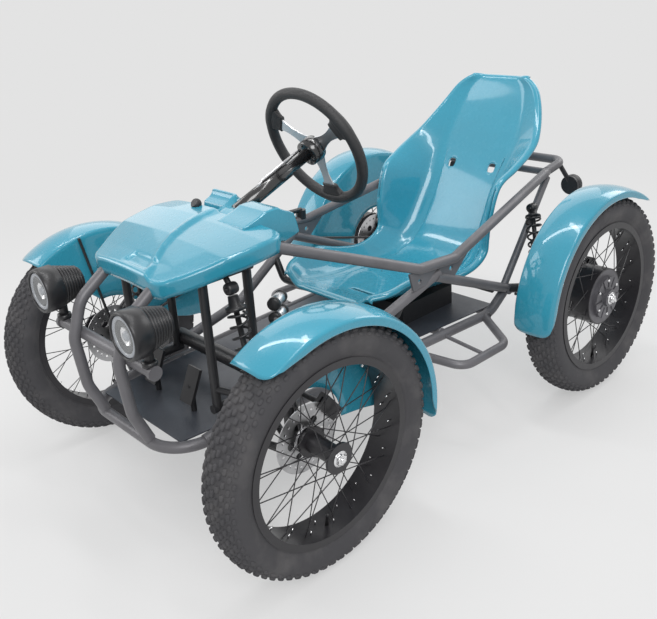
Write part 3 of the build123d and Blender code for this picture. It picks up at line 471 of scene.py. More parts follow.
def knob_row(x, radius, lean, phase, count, length, width, height):
    """One ring of knobs: each leans outwards by an angle and stands on its radius."""
    c, s = np.cos(np.radians(lean)), np.sin(np.radians(lean))
    verts, faces = knob(length, width, height)
    verts = verts @ np.array([[c, 0, s], [0, 1, 0], [-s, 0, c]]).T + (x, 0, radius)
    return copies((verts, faces), about_axle(count, phase), np.zeros((count, 3)))


# Columns: place across, radius of the foot, lean, phase, count, length, width, height, in millimetres
KNOBS = [(5.6, 290.0, 1, 0.0, 66, 15, 8.5, 4.8), (17.5, 288.4, 8, 0.5, 66, 14, 8.5, 5.0),
         (28.6, 284.8, 20, 0.0, 66, 14, 8.0, 5.2), (38.3, 279.2, 34, 0.5, 66, 14, 8.0, 4.8),
         (45.4, 271.6, 58, 0.0, 66, 12, 8.0, 3.4)]
tread = [casing]
for x, radius, lean, phase, count, length, width, height in KNOBS:
    for side in (1, -1):
        tread.append(knob_row(side * x / 1000, radius / 1000, side * lean, phase + (side < 0) * 0.25, count,
                              length / 1000, width / 1000, height / 1000))
tyre = merged(tread)
for row in STATIONS:
    piece("tyre_dress_" + row[0], to_station(tyre, row), rubber, "wheel_" + row[0],
          weld=0, smooth=50, replaces=["tyre_" + row[0]])
print("tyre faces", sum(len(f) for f in tyre[1]))

# %% [markdown]
# ## Nipples, valves and hub bolts
# Each wire spoke ends in a bright nipple at the rim. They are a few faces each, because there are many.
# A valve stem stands in each rim, and bolts hold the hubs' end plates.

# %% Wheel hardware
def nipple_set(rim_radius):
    """Short pins at the rim, pointing in towards the axle, alternating between the two planes."""
    pin = turned(capped([(0, 0.0017), (0.010, 0.0013)]), 6, axis=(0, 0, -1))
    sides = []
    for x, phase in ((0.012, 0.25), (-0.012, 0.75)):
        shift = about_axle(18, phase) @ np.array([x, 0, rim_radius])
        sides.append(copies(pin, about_axle(18, phase), shift))
    return merged(sides)


def bolt(radius, height, axis=(1, 0, 0), start=(0, 0, 0)):
    """A six-sided head with a rounded crown and a round washer under it."""
    head = turned(capped([(0.0008, radius), (height * 0.8, radius), (height, radius * 0.78)]), 6,
                  start, axis)
    washer = turned(capped([(0, radius * 1.3), (0.001, radius * 1.3)]), 14, start, axis)
    return merged([head, washer])


nipples = nipple_set(0.2025)
for row in STATIONS:
    body = "wheel_" + row[0]
    piece("nipples_" + row[0], to_station(nipples, row), bright, body, weld=0)
    stem = merged([turned(capped([(0, 0.0035), (0.028, 0.0032), (0.030, 0.0045), (0.038, 0.0045)]), 12,
                          (0.006, 0, -0.2045), (0.15, 0, 1))])
    piece("valve_" + row[0], to_station(stem, row), black_mould, body)
    if row[0].startswith("rear"):
        spots = about_axle(6) @ np.array([0.046, 0, 0.052])
        heads = copies(bolt(0.0035, 0.003), np.repeat(np.eye(3)[None], 6, 0), spots)
        piece("motor_bolts_" + row[0], to_station(heads, row), bright, body, weld=0)
        carrier = "chassis"
    else:
        carrier = "knuckle_" + row[0].split("_")[1]
    nut = merged([turned(capped([(0.0563, 0.0185), (0.0575, 0.0185)]), 28),
                  turned(capped([(0.0574, 0.0140), (0.0630, 0.0140), (0.0650, 0.0120)]), 6),
                  turned(capped([(0.0650, 0.0070), (0.0675, 0.0066), (0.0682, 0.0050)]), 16)])
    piece("axle_nut_" + row[0], to_station(nut, row), bright, carrier)

# %% [markdown]
# ## Front mudguards and rear mudguards
# A mudguard is a crowned strip over the tyre with a wall on its inboard side. One grid makes it: the
# first parameter is the angle about the axle, the second runs from the wall's foot up and over the
# crown to the rolled outer lip. Near the corners the strip's ends draw back along a quarter circle.

# %% Mudguards
GUARD_R, GUARD_HALF, CROWN, LIP, CORNER = 0.3113, 0.0602, 0.0100, 0.0155, 0.030
# The wall's foot: its radius round the hub, the angle where it leaves the hub, and its radius at the head
FOOT_R, FOOT_END, FOOT_TOP = 0.115, 100, 0.309


def guard(tail, head, way):
    """Point = (x, way * r cos a, r sin a), a between ends that draw back towards the outer corner."""
    across = np.concatenate([np.linspace(0, 1, 14) ** 0.9, 1 + np.linspace(0, 1, 34)[1:],
                             2 + np.linspace(0, 1, 6)[1:]])
    wall, top, lip = across <= 1, (across > 1) & (across <= 2), across > 2
    x = np.where(wall, -GUARD_HALF, GUARD_HALF)
    x[top] = GUARD_HALF * np.interp(across[top], (1, 2), (-1, 1))
    crown = GUARD_R + CROWN * (1 - (x / GUARD_HALF) ** 2)
    crown -= 0.0025 * np.clip((np.abs(x) / GUARD_HALF - 0.94) / 0.06, 0, 1) ** 2
    # How far each end draws back, as an arc length: a quarter circle at each rounded corner
    out = np.clip((x - (GUARD_HALF - CORNER)) / CORNER, 0, 1)
    inn = np.clip((-x - (GUARD_HALF - CORNER)) / CORNER, 0, 1)
    head_back = CORNER * (1 - np.sqrt(1 - out ** 2 * 0.999))
    tail_back = head_back + CORNER * 0.8 * (1 - np.sqrt(1 - inn ** 2 * 0.999))
    low, high = np.radians(tail) + tail_back / GUARD_R, np.radians(head) - head_back / GUARD_R
    low[lip], high[lip] = low[~lip][-1], high[~lip][-1]
    low[wall], high[wall] = low[top][0], high[top][0]
    share = np.linspace(0, 1, 73)[:, None]
    angle = low[None] + (high - low)[None] * share
    radius = np.broadcast_to(crown, angle.shape).copy()
    fade = np.clip(share / 0.06, 0, 1) * np.clip((1 - share) / 0.10, 0, 1)
    radius[:, lip] = crown[-1] - LIP * np.sqrt(fade) * (across[lip] - 2)[None]
    # The wall's foot: straight, then round the hub, then back up to the head
    tail_r = np.radians(tail)
    foot_a = np.concatenate([[tail_r, tail_r * 0.35], np.radians(np.linspace(0, FOOT_END, 30))])
    foot_r = np.concatenate([[0.300, 0.190], np.full(30, FOOT_R)])
    near = FOOT_R * np.array([np.cos(np.radians(FOOT_END)), np.sin(np.radians(FOOT_END))])
    far = FOOT_TOP * np.array([np.cos(np.radians(head)), np.sin(np.radians(head))])
    edge = near + (far - near) * np.linspace(0, 1, 24)[1:, None]
    foot_a = np.concatenate([foot_a, np.arctan2(edge[:, 1], edge[:, 0])])
    foot_r = np.concatenate([foot_r, np.hypot(edge[:, 0], edge[:, 1])])
    foot = np.interp(angle[:, 0], foot_a, foot_r)[:, None]
    rim = crown[wall][-1]
    radius[:, wall] = foot + (rim - foot) * across[wall][None]
    points = np.stack([np.broadcast_to(x, angle.shape), way * radius * np.cos(angle),
                       radius * np.sin(angle)], -1)
    return sheet_of(points)


for row in STATIONS:
    front = row[0].startswith("front")
    tail, head, way = (-9, 125, 1) if front else (-3, 130, -1)
    shape = to_station(guard(tail, head, way), row)
    body = ("knuckle_" + row[0].split("_")[1]) if front else "chassis"
    node = ("fender_" + row[0]) if front else "fenders_rear"
    piece("mudguard_" + row[0], shape, teal, body, wall=0.0022, replaces=[node], smooth=50)

# %% [markdown]
# ## Front cover
# The cover is one moulding over the pedals. Its plan outline is a smooth closed line, and its top is a
# height over the plan: it slopes to the nose, falls a little to the sides, drops a step along a curved
# ridge and has a shallow recess at the nose. Rings go out from the middle to the outline, then round
# the edge and down the skirt.

# %% Hood
def soft(value, low, high):
    """A smooth step from 0 at low to 1 at high: t squared times (3 - 2 t)."""
    t = np.clip((value - low) / (high - low), 0, 1)
    return t * t * (3 - 2 * t)


HOOD_Y = (-0.700, -0.645, -0.565, -0.465, -0.400)


def hood_top(x, y):
    """Height of the cover over a plan place."""
    middle = np.interp(y, HOOD_Y, (0.650, 0.665, 0.691, 0.7050, 0.708))
    half = np.interp(y, HOOD_Y, (0.150, 0.185, 0.2247, 0.238, 0.215))
    ridge = np.interp(y, (-0.70, -0.605, -0.508, -0.443, -0.392), (0.098, 0.030, -0.010, -0.026, -0.028))
    sag = 0.010 * np.clip(np.abs(x) / half, 0, 1) ** 2.4
    step = 0.0075 * soft(x - ridge, 0.0, 0.016)
    bead = 0.0016 * np.exp(-((x - ridge + 0.004) / 0.004) ** 2)
    dent = 0.005 * soft(x, -0.026, -0.010) * (1 - soft(x, 0.064, 0.080))
    dent = dent * soft(y, -0.688, -0.674) * (1 - soft(y, -0.654, -0.640))
    return middle - sag - step + bead - dent


side_line = np.array([(0.0, -0.700), (0.07, -0.700), (0.122, -0.699), (0.146, -0.690), (0.160, -0.672),
                      (0.180, -0.643), (0.204, -0.602), (0.222, -0.560), (0.233, -0.510), (0.2365, -0.465),
                      (0.231, -0.428), (0.218, -0.406), (0.195, -0.400), (0.10, -0.400)])
plan = np.concatenate([side_line, [(0.0, -0.400)], side_line[:0:-1] * (-1, 1)])
plan = smooth_line(plan, 220, closed=True)
centre = np.array([0.0, -0.545])
EDGE, SKIRT = 0.011, 0.040
phi = np.linspace(0, np.pi / 2, 9)
reach = np.linalg.norm(plan - centre, axis=1)
inner = 1 - EDGE / reach
rings = [centre + (plan - centre) * (inner * t)[:, None] for t in np.linspace(0.004, 1, 46)]
rings = [np.concatenate([p, hood_top(p[:, 0], p[:, 1])[:, None]], 1) for p in rings]
edge_z = rings[-1][:, 2]
for a in phi[1:]:
    p = centre + (plan - centre) * (1 - EDGE * (1 - np.sin(a)) / reach)[:, None]
    rings.append(np.concatenate([p, (edge_z - EDGE * (1 - np.cos(a)))[:, None]], 1))
for drop in (0.020, 0.030, SKIRT):
    rings.append(np.concatenate([plan, (edge_z - drop)[:, None]], 1))
hood = sheet_of(np.stack(rings), wrap_columns=True)
hood = (hood[0], hood[1] + [np.arange(len(plan))[None, ::-1]])
piece("hood", hood, teal, "chassis", wall=0.0035, replaces=["front_cover"], smooth=55)

# %% [markdown]
# ## Cowl
# The cowl is the raised hood behind the cover that the steering column passes through. Its side view is
# a rounded six-sided outline, carried across the vehicle, and a channel for the column is pressed
# into its middle. The real one has raised letters; here it is left bare.

# %% Cowl
# Columns: y, z round the side view. Each corner becomes two points, a share of the way along its sides
side_view = np.array([(-0.458, 0.668), (-0.452, 0.701), (-0.383, 0.7400), (-0.343, 0.7405),
                      (-0.297, 0.700), (-0.283, 0.646), (-0.330, 0.634), (-0.40, 0.650)])
CORNER_SHARE = 0.12
before = np.roll(side_view, 1, 0) * CORNER_SHARE + side_view * (1 - CORNER_SHARE)
after = np.roll(side_view, -1, 0) * CORNER_SHARE + side_view * (1 - CORNER_SHARE)
side_loop = smooth_line(np.stack([before, after], 1).reshape(-1, 2), 96, closed=True)
middle_yz = side_loop.mean(0)
COWL_HALF, COWL_EDGE, COWL_STEPS = 0.144, 0.008, 41
# The outline shrinks a little round each end's edge
end_x = (COWL_HALF - COWL_EDGE + COWL_EDGE * np.sin(phi))[::-1]
end_size = (1 - 0.075 * (1 - np.cos(phi)))[::-1]
middle_x = np.linspace(-COWL_HALF + 0.009, COWL_HALF - 0.009, COWL_STEPS)
x_steps = np.concatenate([-end_x, middle_x, end_x[::-1]])
sizes = np.concatenate([end_size, np.ones(COWL_STEPS), end_size[::-1]])
loops = middle_yz + (side_loop - middle_yz)[None] * sizes[:, None, None]
cowl_points = np.concatenate([np.broadcast_to(x_steps[:, None, None], loops.shape[:2] + (1,)), loops], -1)
channel = soft(cowl_points[..., 0], -0.036, -0.028) * (1 - soft(cowl_points[..., 0], 0.028, 0.036))
cowl_points[..., 2] -= 0.030 * channel * soft(cowl_points[..., 2], 0.690, 0.712)
right = soft(-cowl_points[..., 0], 0.020, 0.050)
cowl_points[..., 1] += 0.088 * right * soft(-cowl_points[..., 1], 0.300, 0.452)
cowl_points[..., 2] -= 0.018 * soft(cowl_points[..., 2], 0.690, 0.7405)
cowl = sheet_of(cowl_points, wrap_columns=True)
around = len(side_loop)
last = len(cowl[0]) - around
cowl = (cowl[0], cowl[1] + [np.arange(around)[None, ::-1], np.arange(last, last + around)[None]])
piece("cowl", cowl, teal, "chassis", smooth=55, replaces=["front_cover"])

# %% [markdown]
# ## Headlamps
# Each headlamp is a black finned can with a glossy bezel, a pale frosted ring, a dark ring and a bright
# reflector behind clear glass. All are turned profiles on one axis, which points forwards.

# %% Headlamps
LAMP = np.array((0.1974, -0.819135, 0.5742))
LAMP_FOOT = (LAMP[0], -0.7717, 0.4761)
LAMP_COLLAR = (LAMP[0], -0.7717, 0.4885)
# Profiles are places ahead of the lens plane and radii, in millimetres
barrel = [(-38, 54), (-37, 55.5), (-8, 55.5), (0, 55), (4, 53.5), (5.8, 51.5), (5.8, 49), (4.5, 47.6),
          (-2, 47), (-6, 47)]
halo = [(-2, 47.2), (1.6, 46.6), (3.6, 44), (3.8, 40), (2.4, 37.6), (-3, 37)]
dark_ring = [(-3, 37.4), (0.8, 36), (0.6, 28), (-1, 22), (-3, 20.8)]
bulb = [(-10, 0), (-10, 11), (-4, 11.5), (0, 9), (1.4, 4), (1.6, 0)]
glass = [(3.4, 40), (4.8, 38), (5.6, 30), (5.8, 15), (5.8, 0)]
FINS, FIN_PITCH, FIN_TAPER = 8, 7.8, 2.3
fin_line = [(-34, 50), (-36, 53.6)]
for k in range(FINS):
    at, top = -38.5 - FIN_PITCH * k, 53.0 - FIN_TAPER * k
    fin_line += [(at, top), (at - 3.6, top - 1.0), (at - 4.1, top - 6.0), (at - 7.3, top - 6.6)]
fin_line += [(-102, 31), (-104.5, 26), (-104.5, 0)]
BOWL = 21.0
bowl = [(-12 + 9 * (k / BOWL) ** 2, k) for k in np.linspace(BOWL, 0, 12)]
# Columns: name, finish, slot, profile
LAMP_ROWS = [
    ("lamp_can", satin_black, "black_plastic", fin_line),
    ("lamp_bezel", satin_black, "black_plastic", barrel),
    ("lamp_halo", frosted, "black_plastic", halo),
    ("lamp_dark_ring", black_mould, "black_plastic", dark_ring),
    ("lamp_reflector", bright, "steel", bowl),
    ("lamp_bulb", frosted, "lens", bulb),
    ("lamp_glass", clear, "lens", glass),
]
foot = turned(capped([(0.0, 0.011), (0.080, 0.011)]), 24, LAMP_FOOT, (0, 0, 1))
collar_line = [(0.000, 0.0118), (0.000, 0.0165), (0.006, 0.0175), (0.012, 0.0165), (0.013, 0.0118)]
collar = turned(collar_line, 24, LAMP_COLLAR, (0, 0, 1))
for side, word in ((1, "left"), (-1, "right")):
    for part_name, finish, slot, profile in LAMP_ROWS:
        mesh = turned(np.array(profile) / 1000, 64, LAMP, (0, -1, 0))
        if part_name == "lamp_can":
            mesh = merged([mesh, foot, collar])
        shape = mesh if side > 0 else flipped(mesh)
        gone = {"lamp_can": ["headlamps"], "lamp_glass": ["headlamp_lenses"]}.get(part_name, [])
        piece(part_name + "_" + word, shape, finish, "chassis", replaces=gone, smooth=35)

# %% [markdown]
# ## Seat
# The seat is one deep moulded shell. Rows of sizes run from its front edge, over the pan and up the back:
# where the middle line is, how far it leans, how wide the flat and the edge are, and how high the side
# stands. A smooth curve through each column gives many rows. Across a row, the section is straight
# runs joined by soft bends, and ends in a lip that rolls down. Slots let the belts through.

# %% Seat shell
# Columns: y, z, lean in degrees, half width of the flat, half width at the edge, height of the side
SEAT = np.array([
    (-79.6, 378.0, -5, 150, 196, 30), (0.0, 362.7, -9, 150, 199, 62), (75.2, 351.9, -6, 150, 201, 75),
    (163.5, 343.8, -3, 150, 202, 58), (255.1, 338.4, 4, 150, 203, 47), (337.9, 345.6, 18, 149, 204, 51),
    (405.5, 369.0, 40, 149, 205, 68), (449.1, 403.2, 53, 147, 208, 103), (485.1, 450.0, 60, 146, 211, 130),
    (538.5, 540.0, 62, 141, 216, 149), (573.3, 597.6, 61, 139, 223, 108), (607.1, 649.8, 60, 138, 222, 66),
    (640.9, 702.0, 61, 135, 209, 36), (690.0, 784.8, 63, 118, 171, 17), (730.3, 869.4, 65, 92, 122, 9)])
ROWS = 150
seat_rows = smooth_line(SEAT, ROWS)
across_share = np.linspace(0, len(SEAT) - 1, ROWS)
# Both widths draw in over the last rows and the first, which rounds the shell's corners
top_turn = np.sqrt(1 - (0.66 * np.clip((across_share - 13.35) / 0.65, 0, 1) ** 1.5) ** 2)
top_turn = top_turn * np.sqrt(1 - (0.55 * np.clip(1 - across_share / 0.75, 0, 1)) ** 2)
mid_y, mid_z, _, flat, edge, rise = seat_rows.T[:, :, None] / 1000
flat, edge = flat * top_turn[:, None], edge * top_turn[:, None]
lean_row = np.radians(seat_rows[:, 2:3])
run = np.hypot(edge - flat, rise)
turn_half = np.arctan2(rise, edge - flat) / 2
low_cut = np.minimum(0.070 * np.tan(turn_half), run / 2.4)
high_cut = np.minimum(0.013 * np.tan(turn_half), run / 4)
way_x, way_v = (edge - flat) / run, rise / run


def bend(ax, av, bx, bv, cx, cv, count):
    """A corner rounded by a curve: (1-t)^2 start + 2t(1-t) corner + t^2 end."""
    t = np.linspace(0, 1, count)[None]
    return ((1 - t) ** 2 * ax + 2 * t * (1 - t) * bx + t ** 2 * cx,
            (1 - t) ** 2 * av + 2 * t * (1 - t) * bv + t ** 2 * cv)


flat_run = flat * np.linspace(0, 1, 26)[None] - low_cut * np.linspace(0, 1, 26)[None] ** 6
low_bend = bend(flat - low_cut, 0 * flat, flat, 0 * flat, flat + low_cut * way_x, low_cut * way_v, 10)
high_bend = bend(edge - high_cut * way_x, rise - high_cut * way_v, edge, rise, edge + high_cut, rise, 6)
lip_a = np.linspace(0, np.pi * 0.62, 6)[None]
lip_x = edge + 0.008 + 0.0045 * np.sin(lip_a)
lip_v = rise - 0.0045 * (1 - np.cos(lip_a))
side_t = np.linspace(0, 1, 8)[None, 1:-1]
side_x = low_bend[0][:, -1:] + (high_bend[0][:, :1] - low_bend[0][:, -1:]) * side_t
side_v = low_bend[1][:, -1:] + (high_bend[1][:, :1] - low_bend[1][:, -1:]) * side_t
half_x = np.concatenate([flat_run[:, :-1], low_bend[0], side_x, high_bend[0], lip_x], 1)
half_v = np.concatenate([0 * flat_run[:, :-1], low_bend[1], side_v, high_bend[1], lip_v], 1)
full_x = np.concatenate([-half_x[:, :0:-1], half_x], 1)
full_v = np.concatenate([half_v[:, :0:-1], half_v], 1)
shell = np.stack([full_x, mid_y - full_v * np.sin(lean_row), mid_z + full_v * np.cos(lean_row)], -1)
normal_way = np.stack([0 * mid_y, -np.sin(lean_row), np.cos(lean_row)], -1)
along_way = np.stack([0 * mid_y, np.cos(lean_row), np.sin(lean_row)], -1)
# The lip at each end. Columns: how far past the end, how far below
ROLL = [(0.003, 0.002), (0.005, 0.006), (0.0055, 0.010)]
roll_front = [shell[:1] - along_way[:1] * a - normal_way[:1] * b for a, b in ROLL[::-1]]
roll_back = [shell[-1:] + along_way[-1:] * a - normal_way[-1:] * b for a, b in ROLL]
shell = np.concatenate(roll_front + [shell] + roll_back)


def cut_slots(points, slots):
    """Faces inside each slot are dropped, and the points round it move onto its rounded outline."""
    step_x, step_s = np.gradient(points, axis=1), np.gradient(points, axis=0)
    middle_line = points[:, points.shape[1] // 2]
    steps = np.linalg.norm(np.diff(middle_line, axis=0), axis=1)
    length = np.concatenate([[0], np.cumsum(steps)])
    place_s = np.broadcast_to(length[:, None], points.shape[:2])
    faces = grid_faces(*points.shape[:2])
    flat_points, keep = points.reshape(-1, 3).copy(), np.ones(len(faces), bool)
    for spot, half_wide, half_tall in slots:
        middle = np.abs(middle_line[:, 1:] - np.array(spot[1:])).sum(1).argmin()
        q = np.stack([(points[..., 0] - spot[0]) / half_wide, (place_s - length[middle]) / half_tall], -1)
        q = q.reshape(-1, 2)
        size = (np.abs(q) ** 4).sum(1) ** 0.25
        inside = size[faces].mean(1) < 1
        gone, kept = np.unique(faces[inside]), np.unique(faces[~inside])
        rim = np.intersect1d(gone, kept)
        pull = (q[rim] / size[rim, None] - q[rim]) * (half_wide, half_tall)
        unit_x, unit_s = unit(step_x.reshape(-1, 3)[rim]), unit(step_s.reshape(-1, 3)[rim])
        flat_points[rim] += unit_x * pull[:, :1] + unit_s * pull[:, 1:]
        keep &= ~inside
    return flat_points, [faces[keep]]


# Columns: place, half width, half height: two shoulder slots, one between the legs, one beside the hip
SLOTS = [((0.078, 0.581, 0.6075), 0.013, 0.015), ((-0.078, 0.581, 0.6075), 0.013, 0.015),
         ((-0.014, 0.265, 0.339), 0.010, 0.022), ((0.042, 0.020, 0.361), 0.046, 0.007)]
piece("seat_shell", cut_slots(shell, SLOTS), teal, "chassis", wall=0.005, replaces=["seat"],
      weld=0, smooth=50)
# Columns: half spacing, y, z, lean in degrees
SEAT_BOLTS = [(0.060, 0.205, 0.3415, 0), (0.070, 0.655, 0.7265, 61.5)]
seat_bolts = []
for x, y, z, lean_at in SEAT_BOLTS:
    way = (0, -np.sin(np.radians(lean_at)), np.cos(np.radians(lean_at)))
    seat_bolts += [bolt(0.0055, 0.004, way, (x, y, z)), bolt(0.0055, 0.004, way, (-x, y, z))]
piece("seat_bolts", merged(seat_bolts), satin_black, "chassis", weld=0)

# %% [markdown]
# ## Springs and dampers
# Each wheel hangs on a damper with a spring round it. The spring is a wire carried along a helix, which is
# a circle that climbs: its ends close up on two cups. An eye with a rubber bush holds each end.

# %% Springs
def helix(start, end, radius, turns, count):
    """Point = start + axis * rise + radius * (side cos a, other sin a); the rise eases at both ends."""
    start, end = np.array(start, float), np.array(end, float)
    way = unit(end - start)
    side = unit(np.cross(way, (1, 0.2, 0)))
    other = np.cross(way, side)
    t = np.linspace(0, 1, count)[:, None]
    climb = np.clip((t - 0.06) / 0.88, 0, 1) * 0.94 + 0.03
    a = turns * TAU * t
    return start + (end - start) * climb + radius * (np.cos(a) * side + np.sin(a) * other)


# Columns: name, foot, head, turns of the spring, damper's node
DAMPERS = [("front", (0.2679, -0.545, 0.2565), (0.1993, -0.545, 0.594), 9, "front_shocks"),
           ("rear", (0.329, 0.474, 0.3465), (0.2397, 0.5668, 0.513), 6, "rear_shocks")]
# Columns: place as a share of the damper's length, radius
DAMPER_LINE = np.array([
    (0.03, 0.0125), (0.12, 0.0125), (0.125, 0.0160), (0.17, 0.0165), (0.175, 0.0235), (0.20, 0.0238),
    (0.205, 0.0150), (0.50, 0.0148), (0.51, 0.0120), (0.52, 0.0068), (0.85, 0.0068), (0.852, 0.0238),
    (0.875, 0.0232), (0.885, 0.0145), (0.95, 0.0120)])
BUSH_LINE = [(-0.013, 0.0055), (-0.013, 0.0130), (-0.008, 0.0145), (0.008, 0.0145), (0.013, 0.0130),
             (0.013, 0.0055)]
COIL_R, WIRE_R, COIL_FOOT, COIL_HEAD = 0.0208, 0.0031, 0.20, 0.84
for name, foot_at, head_at, turns, node in DAMPERS:
    foot_at, head_at = np.array(foot_at), np.array(head_at)
    line = head_at - foot_at
    size = np.linalg.norm(line)
    wire = helix(foot_at + line * COIL_FOOT, foot_at + line * COIL_HEAD, COIL_R, turns, 230)
    coil = along(wire, ring(WIRE_R, 8), up=tuple(line))
    damper = [turned(capped(DAMPER_LINE * (size, 1)), 28, foot_at, line)]
    for at in (foot_at, head_at):
        damper.append(turned(BUSH_LINE, 24, at, (0, 1, 0)))
        damper.append(bolt(0.0050, 0.004, (0, -1, 0), at - (0, 0.0132, 0)))
    for side, word in ((1, "left"), (-1, "right")):
        spring, strut = (coil, merged(damper)) if side > 0 else (flipped(coil), flipped(merged(damper)))
        piece("spring_" + name + "_" + word, spring, satin_black, "chassis", weld=0)
        piece("damper_" + name + "_" + word, strut, satin_black, "chassis",
              replaces=[node], weld=0)

# %% [markdown]
# ## Steering wheel
# The rim is a leather sleeve over a ring, with a thicker pad where each spoke goes in. The spokes are one
# alloy plate that narrows between its hub and the rim, fixed by six bolts to a black boss. The column
# is a glossy black tube that ends in the boss.

# %% Steering wheel
HUB = np.array((0, -0.0872, 0.8019))
AXIS = unit(np.array((0, 0.92910, 0.36982)))
DOWN = np.cross((1, 0, 0), AXIS)
DOWN = DOWN if DOWN[2] < 0 else -DOWN
RIM_RADIUS, GRIP, GRIP_MOST, PAD_SWELL, PAD_REACH = 0.161, 0.0148, 0.0160, 0.0012, 0.16
SPOKES_AT = (90, 210, 330)


def on_wheel(points):
    """Points in wheel axes (right, down, towards the driver) placed on the vehicle."""
    points = np.asarray(points)
    return HUB + points[..., :1] * np.array((1, 0, 0)) + points[..., 1:2] * DOWN + points[..., 2:] * AXIS


around_rim = np.arange(144) / 144 * TAU
grip_size = np.full(144, GRIP)
for degrees in SPOKES_AT:
    away = np.abs((around_rim - np.radians(degrees) + np.pi) % TAU - np.pi)
    grip_size += PAD_SWELL * np.exp(-(away / PAD_REACH) ** 4)
circle = np.stack([np.cos(around_rim), np.sin(around_rim), 0 * around_rim], 1)
rim_mesh = along(on_wheel(RIM_RADIUS * circle), ring(1.0, 22), up=AXIS, closed=True,
                 scale=np.minimum(grip_size, GRIP_MOST))
pads, spokes = [], []
pad_r = np.linspace(0.118, 0.155, 8)
spoke_r = np.linspace(0.004, 0.152, 40)
loop = np.arange(20) / 20 * TAU
square = np.stack([np.sign(np.cos(loop)) * np.abs(np.cos(loop)) ** 0.5,
                   np.sign(np.sin(loop)) * np.abs(np.sin(loop)) ** 0.5], 1)
for degrees in SPOKES_AT:
    a = np.radians(degrees)
    out, side = np.array((np.cos(a), np.sin(a), 0)), np.array((-np.sin(a), np.cos(a), 0))
    wide = 0.0125 + 0.016 * np.exp(-(spoke_r / 0.042) ** 2) + 0.009 * soft(spoke_r, 0.075, 0.150)
    strip = np.linspace(-1, 1, 9)
    spokes.append(sheet_of(on_wheel(spoke_r[:, None, None] * out + (wide[:, None] * strip)[..., None] * side)))
    pad_wide = 0.027 + 0.012 * soft(pad_r, 0.118, 0.150) ** 2
    pad_thick = 0.0062 + 0.0050 * soft(pad_r, 0.118, 0.150)
    body_pad = (pad_r[:, None, None] * out + (pad_wide[:, None] * square[:, 0])[..., None] * side
                + (pad_thick[:, None] * square[:, 1])[..., None] * np.array((0, 0, 1)))
    pad = sheet_of(on_wheel(body_pad), wrap_columns=True)
    pads.append((pad[0], pad[1] + [np.arange(20)[None, ::-1], np.arange(140, 160)[None]]))
piece("wheel_grip", merged([rim_mesh] + pads), grip_hide, "steering",
      replaces=["steering_wheel_rim"], weld=0)
piece("wheel_spokes", merged(spokes), alloy, "steering", wall=0.004, weld=0, bevel=0.0006,
      replaces=["steering_wheel_spokes"])
under_line = [(-0.0365, 0.030), (-0.034, 0.0345), (-0.012, 0.0360), (-0.0024, 0.0360)]
over_line = [(0.0022, 0.0340), (0.0045, 0.0330), (0.0060, 0.0270), (0.0068, 0.0120)]
boss = [turned(capped(line), 48, HUB, AXIS) for line in (under_line, over_line)]
for k in range(6):
    a = k / 6 * TAU + 0.3
    spot = on_wheel([0.027 * np.cos(a), 0.027 * np.sin(a), -0.0362])
    boss.append(bolt(0.0038, 0.003, -AXIS, spot))
column_line = [(-0.520, 0.0138), (-0.300, 0.0139), (-0.298, 0.0200), (-0.110, 0.0200), (-0.106, 0.0160),
               (-0.034, 0.0165)]
boss.append(turned(capped(column_line), 32, HUB, AXIS))
piece("wheel_boss", merged(boss), gloss_black, "steering", weld=0, replaces=["steering_column"])
# The cable's route down the column's upper side, ending in the column's sleeve
CABLE = [(0, -0.024, -0.060), (0, -0.0245, -0.120), (0, -0.0245, -0.195), (0, -0.0165, -0.214)]
rod = along(on_wheel(CABLE), ring(0.0040, 12), up=(1, 0, 0))
piece("wheel_cable", rod, steel, "steering", weld=0)

# %% [markdown]
# ## Lamps at the back, weld beads and small hardware
# The tail lamps have a red glass. Where a cross tube or a step meets a frame tube there is a weld bead, a
# rounded ring. Reservoirs of the front dampers are short silver cylinders between black caps.

# %% Small hardware
TAIL = (0.2284, 0.8131, 0.531)
ruby_line = [(0.0, 0.0280), (0.004, 0.0276), (0.0072, 0.0230), (0.0086, 0.0120), (0.0088, 0)]
tail_line = [(0, 0.0275), (0.0035, 0.0282), (0.0035, 0.0310), (-0.004, 0.0314), (-0.012, 0.0306)]
lens_shape, rim_shape = [turned(line, 40, TAIL, (0, 1, 0)) for line in (ruby_line, tail_line)]
# Each row: a bead's profile, its shift outwards, and where its tubes meet the floor frame (x, y)
FLOOR_Z = 0.2502
BEADS = [([(-0.003, 0.0100), (0.000, 0.0135), (0.003, 0.0145), (0.005, 0.0110)], -0.0155,
          [(0.2141, -0.4545), (0.2357, -0.1635), (0.2517, 0.1308), (0.2623, 0.3248)]),
         ([(-0.003, 0.0150), (0.000, 0.0150), (0.003, 0.0138), (0.005, 0.0115)], 0.0125,
          [(0.2423, -0.0196), (0.2609, 0.2998)])]
beads = [turned(line, 24, (x + shift, y, FLOOR_Z)) for line, shift, spots in BEADS for x, y in spots]
can_line = [(-0.020, 0.0140), (-0.018, 0.0150), (0.018, 0.0150), (0.020, 0.0140)]
cap_lines = [[(0.019, 0.0165), (0.028, 0.0160), (0.030, 0.0130)],
             [(-0.030, 0.0130), (-0.028, 0.0160), (-0.019, 0.0165)]]
CAN_WAY = (0.5, -0.85, 0)
reservoirs, caps = [], []
for z in (0.523, 0.487):
    can_at = (0.200, -0.418, z)
    reservoirs.append(turned(capped(can_line), 28, can_at, CAN_WAY))
    caps += [turned(capped(line), 28, can_at, CAN_WAY) for line in cap_lines]
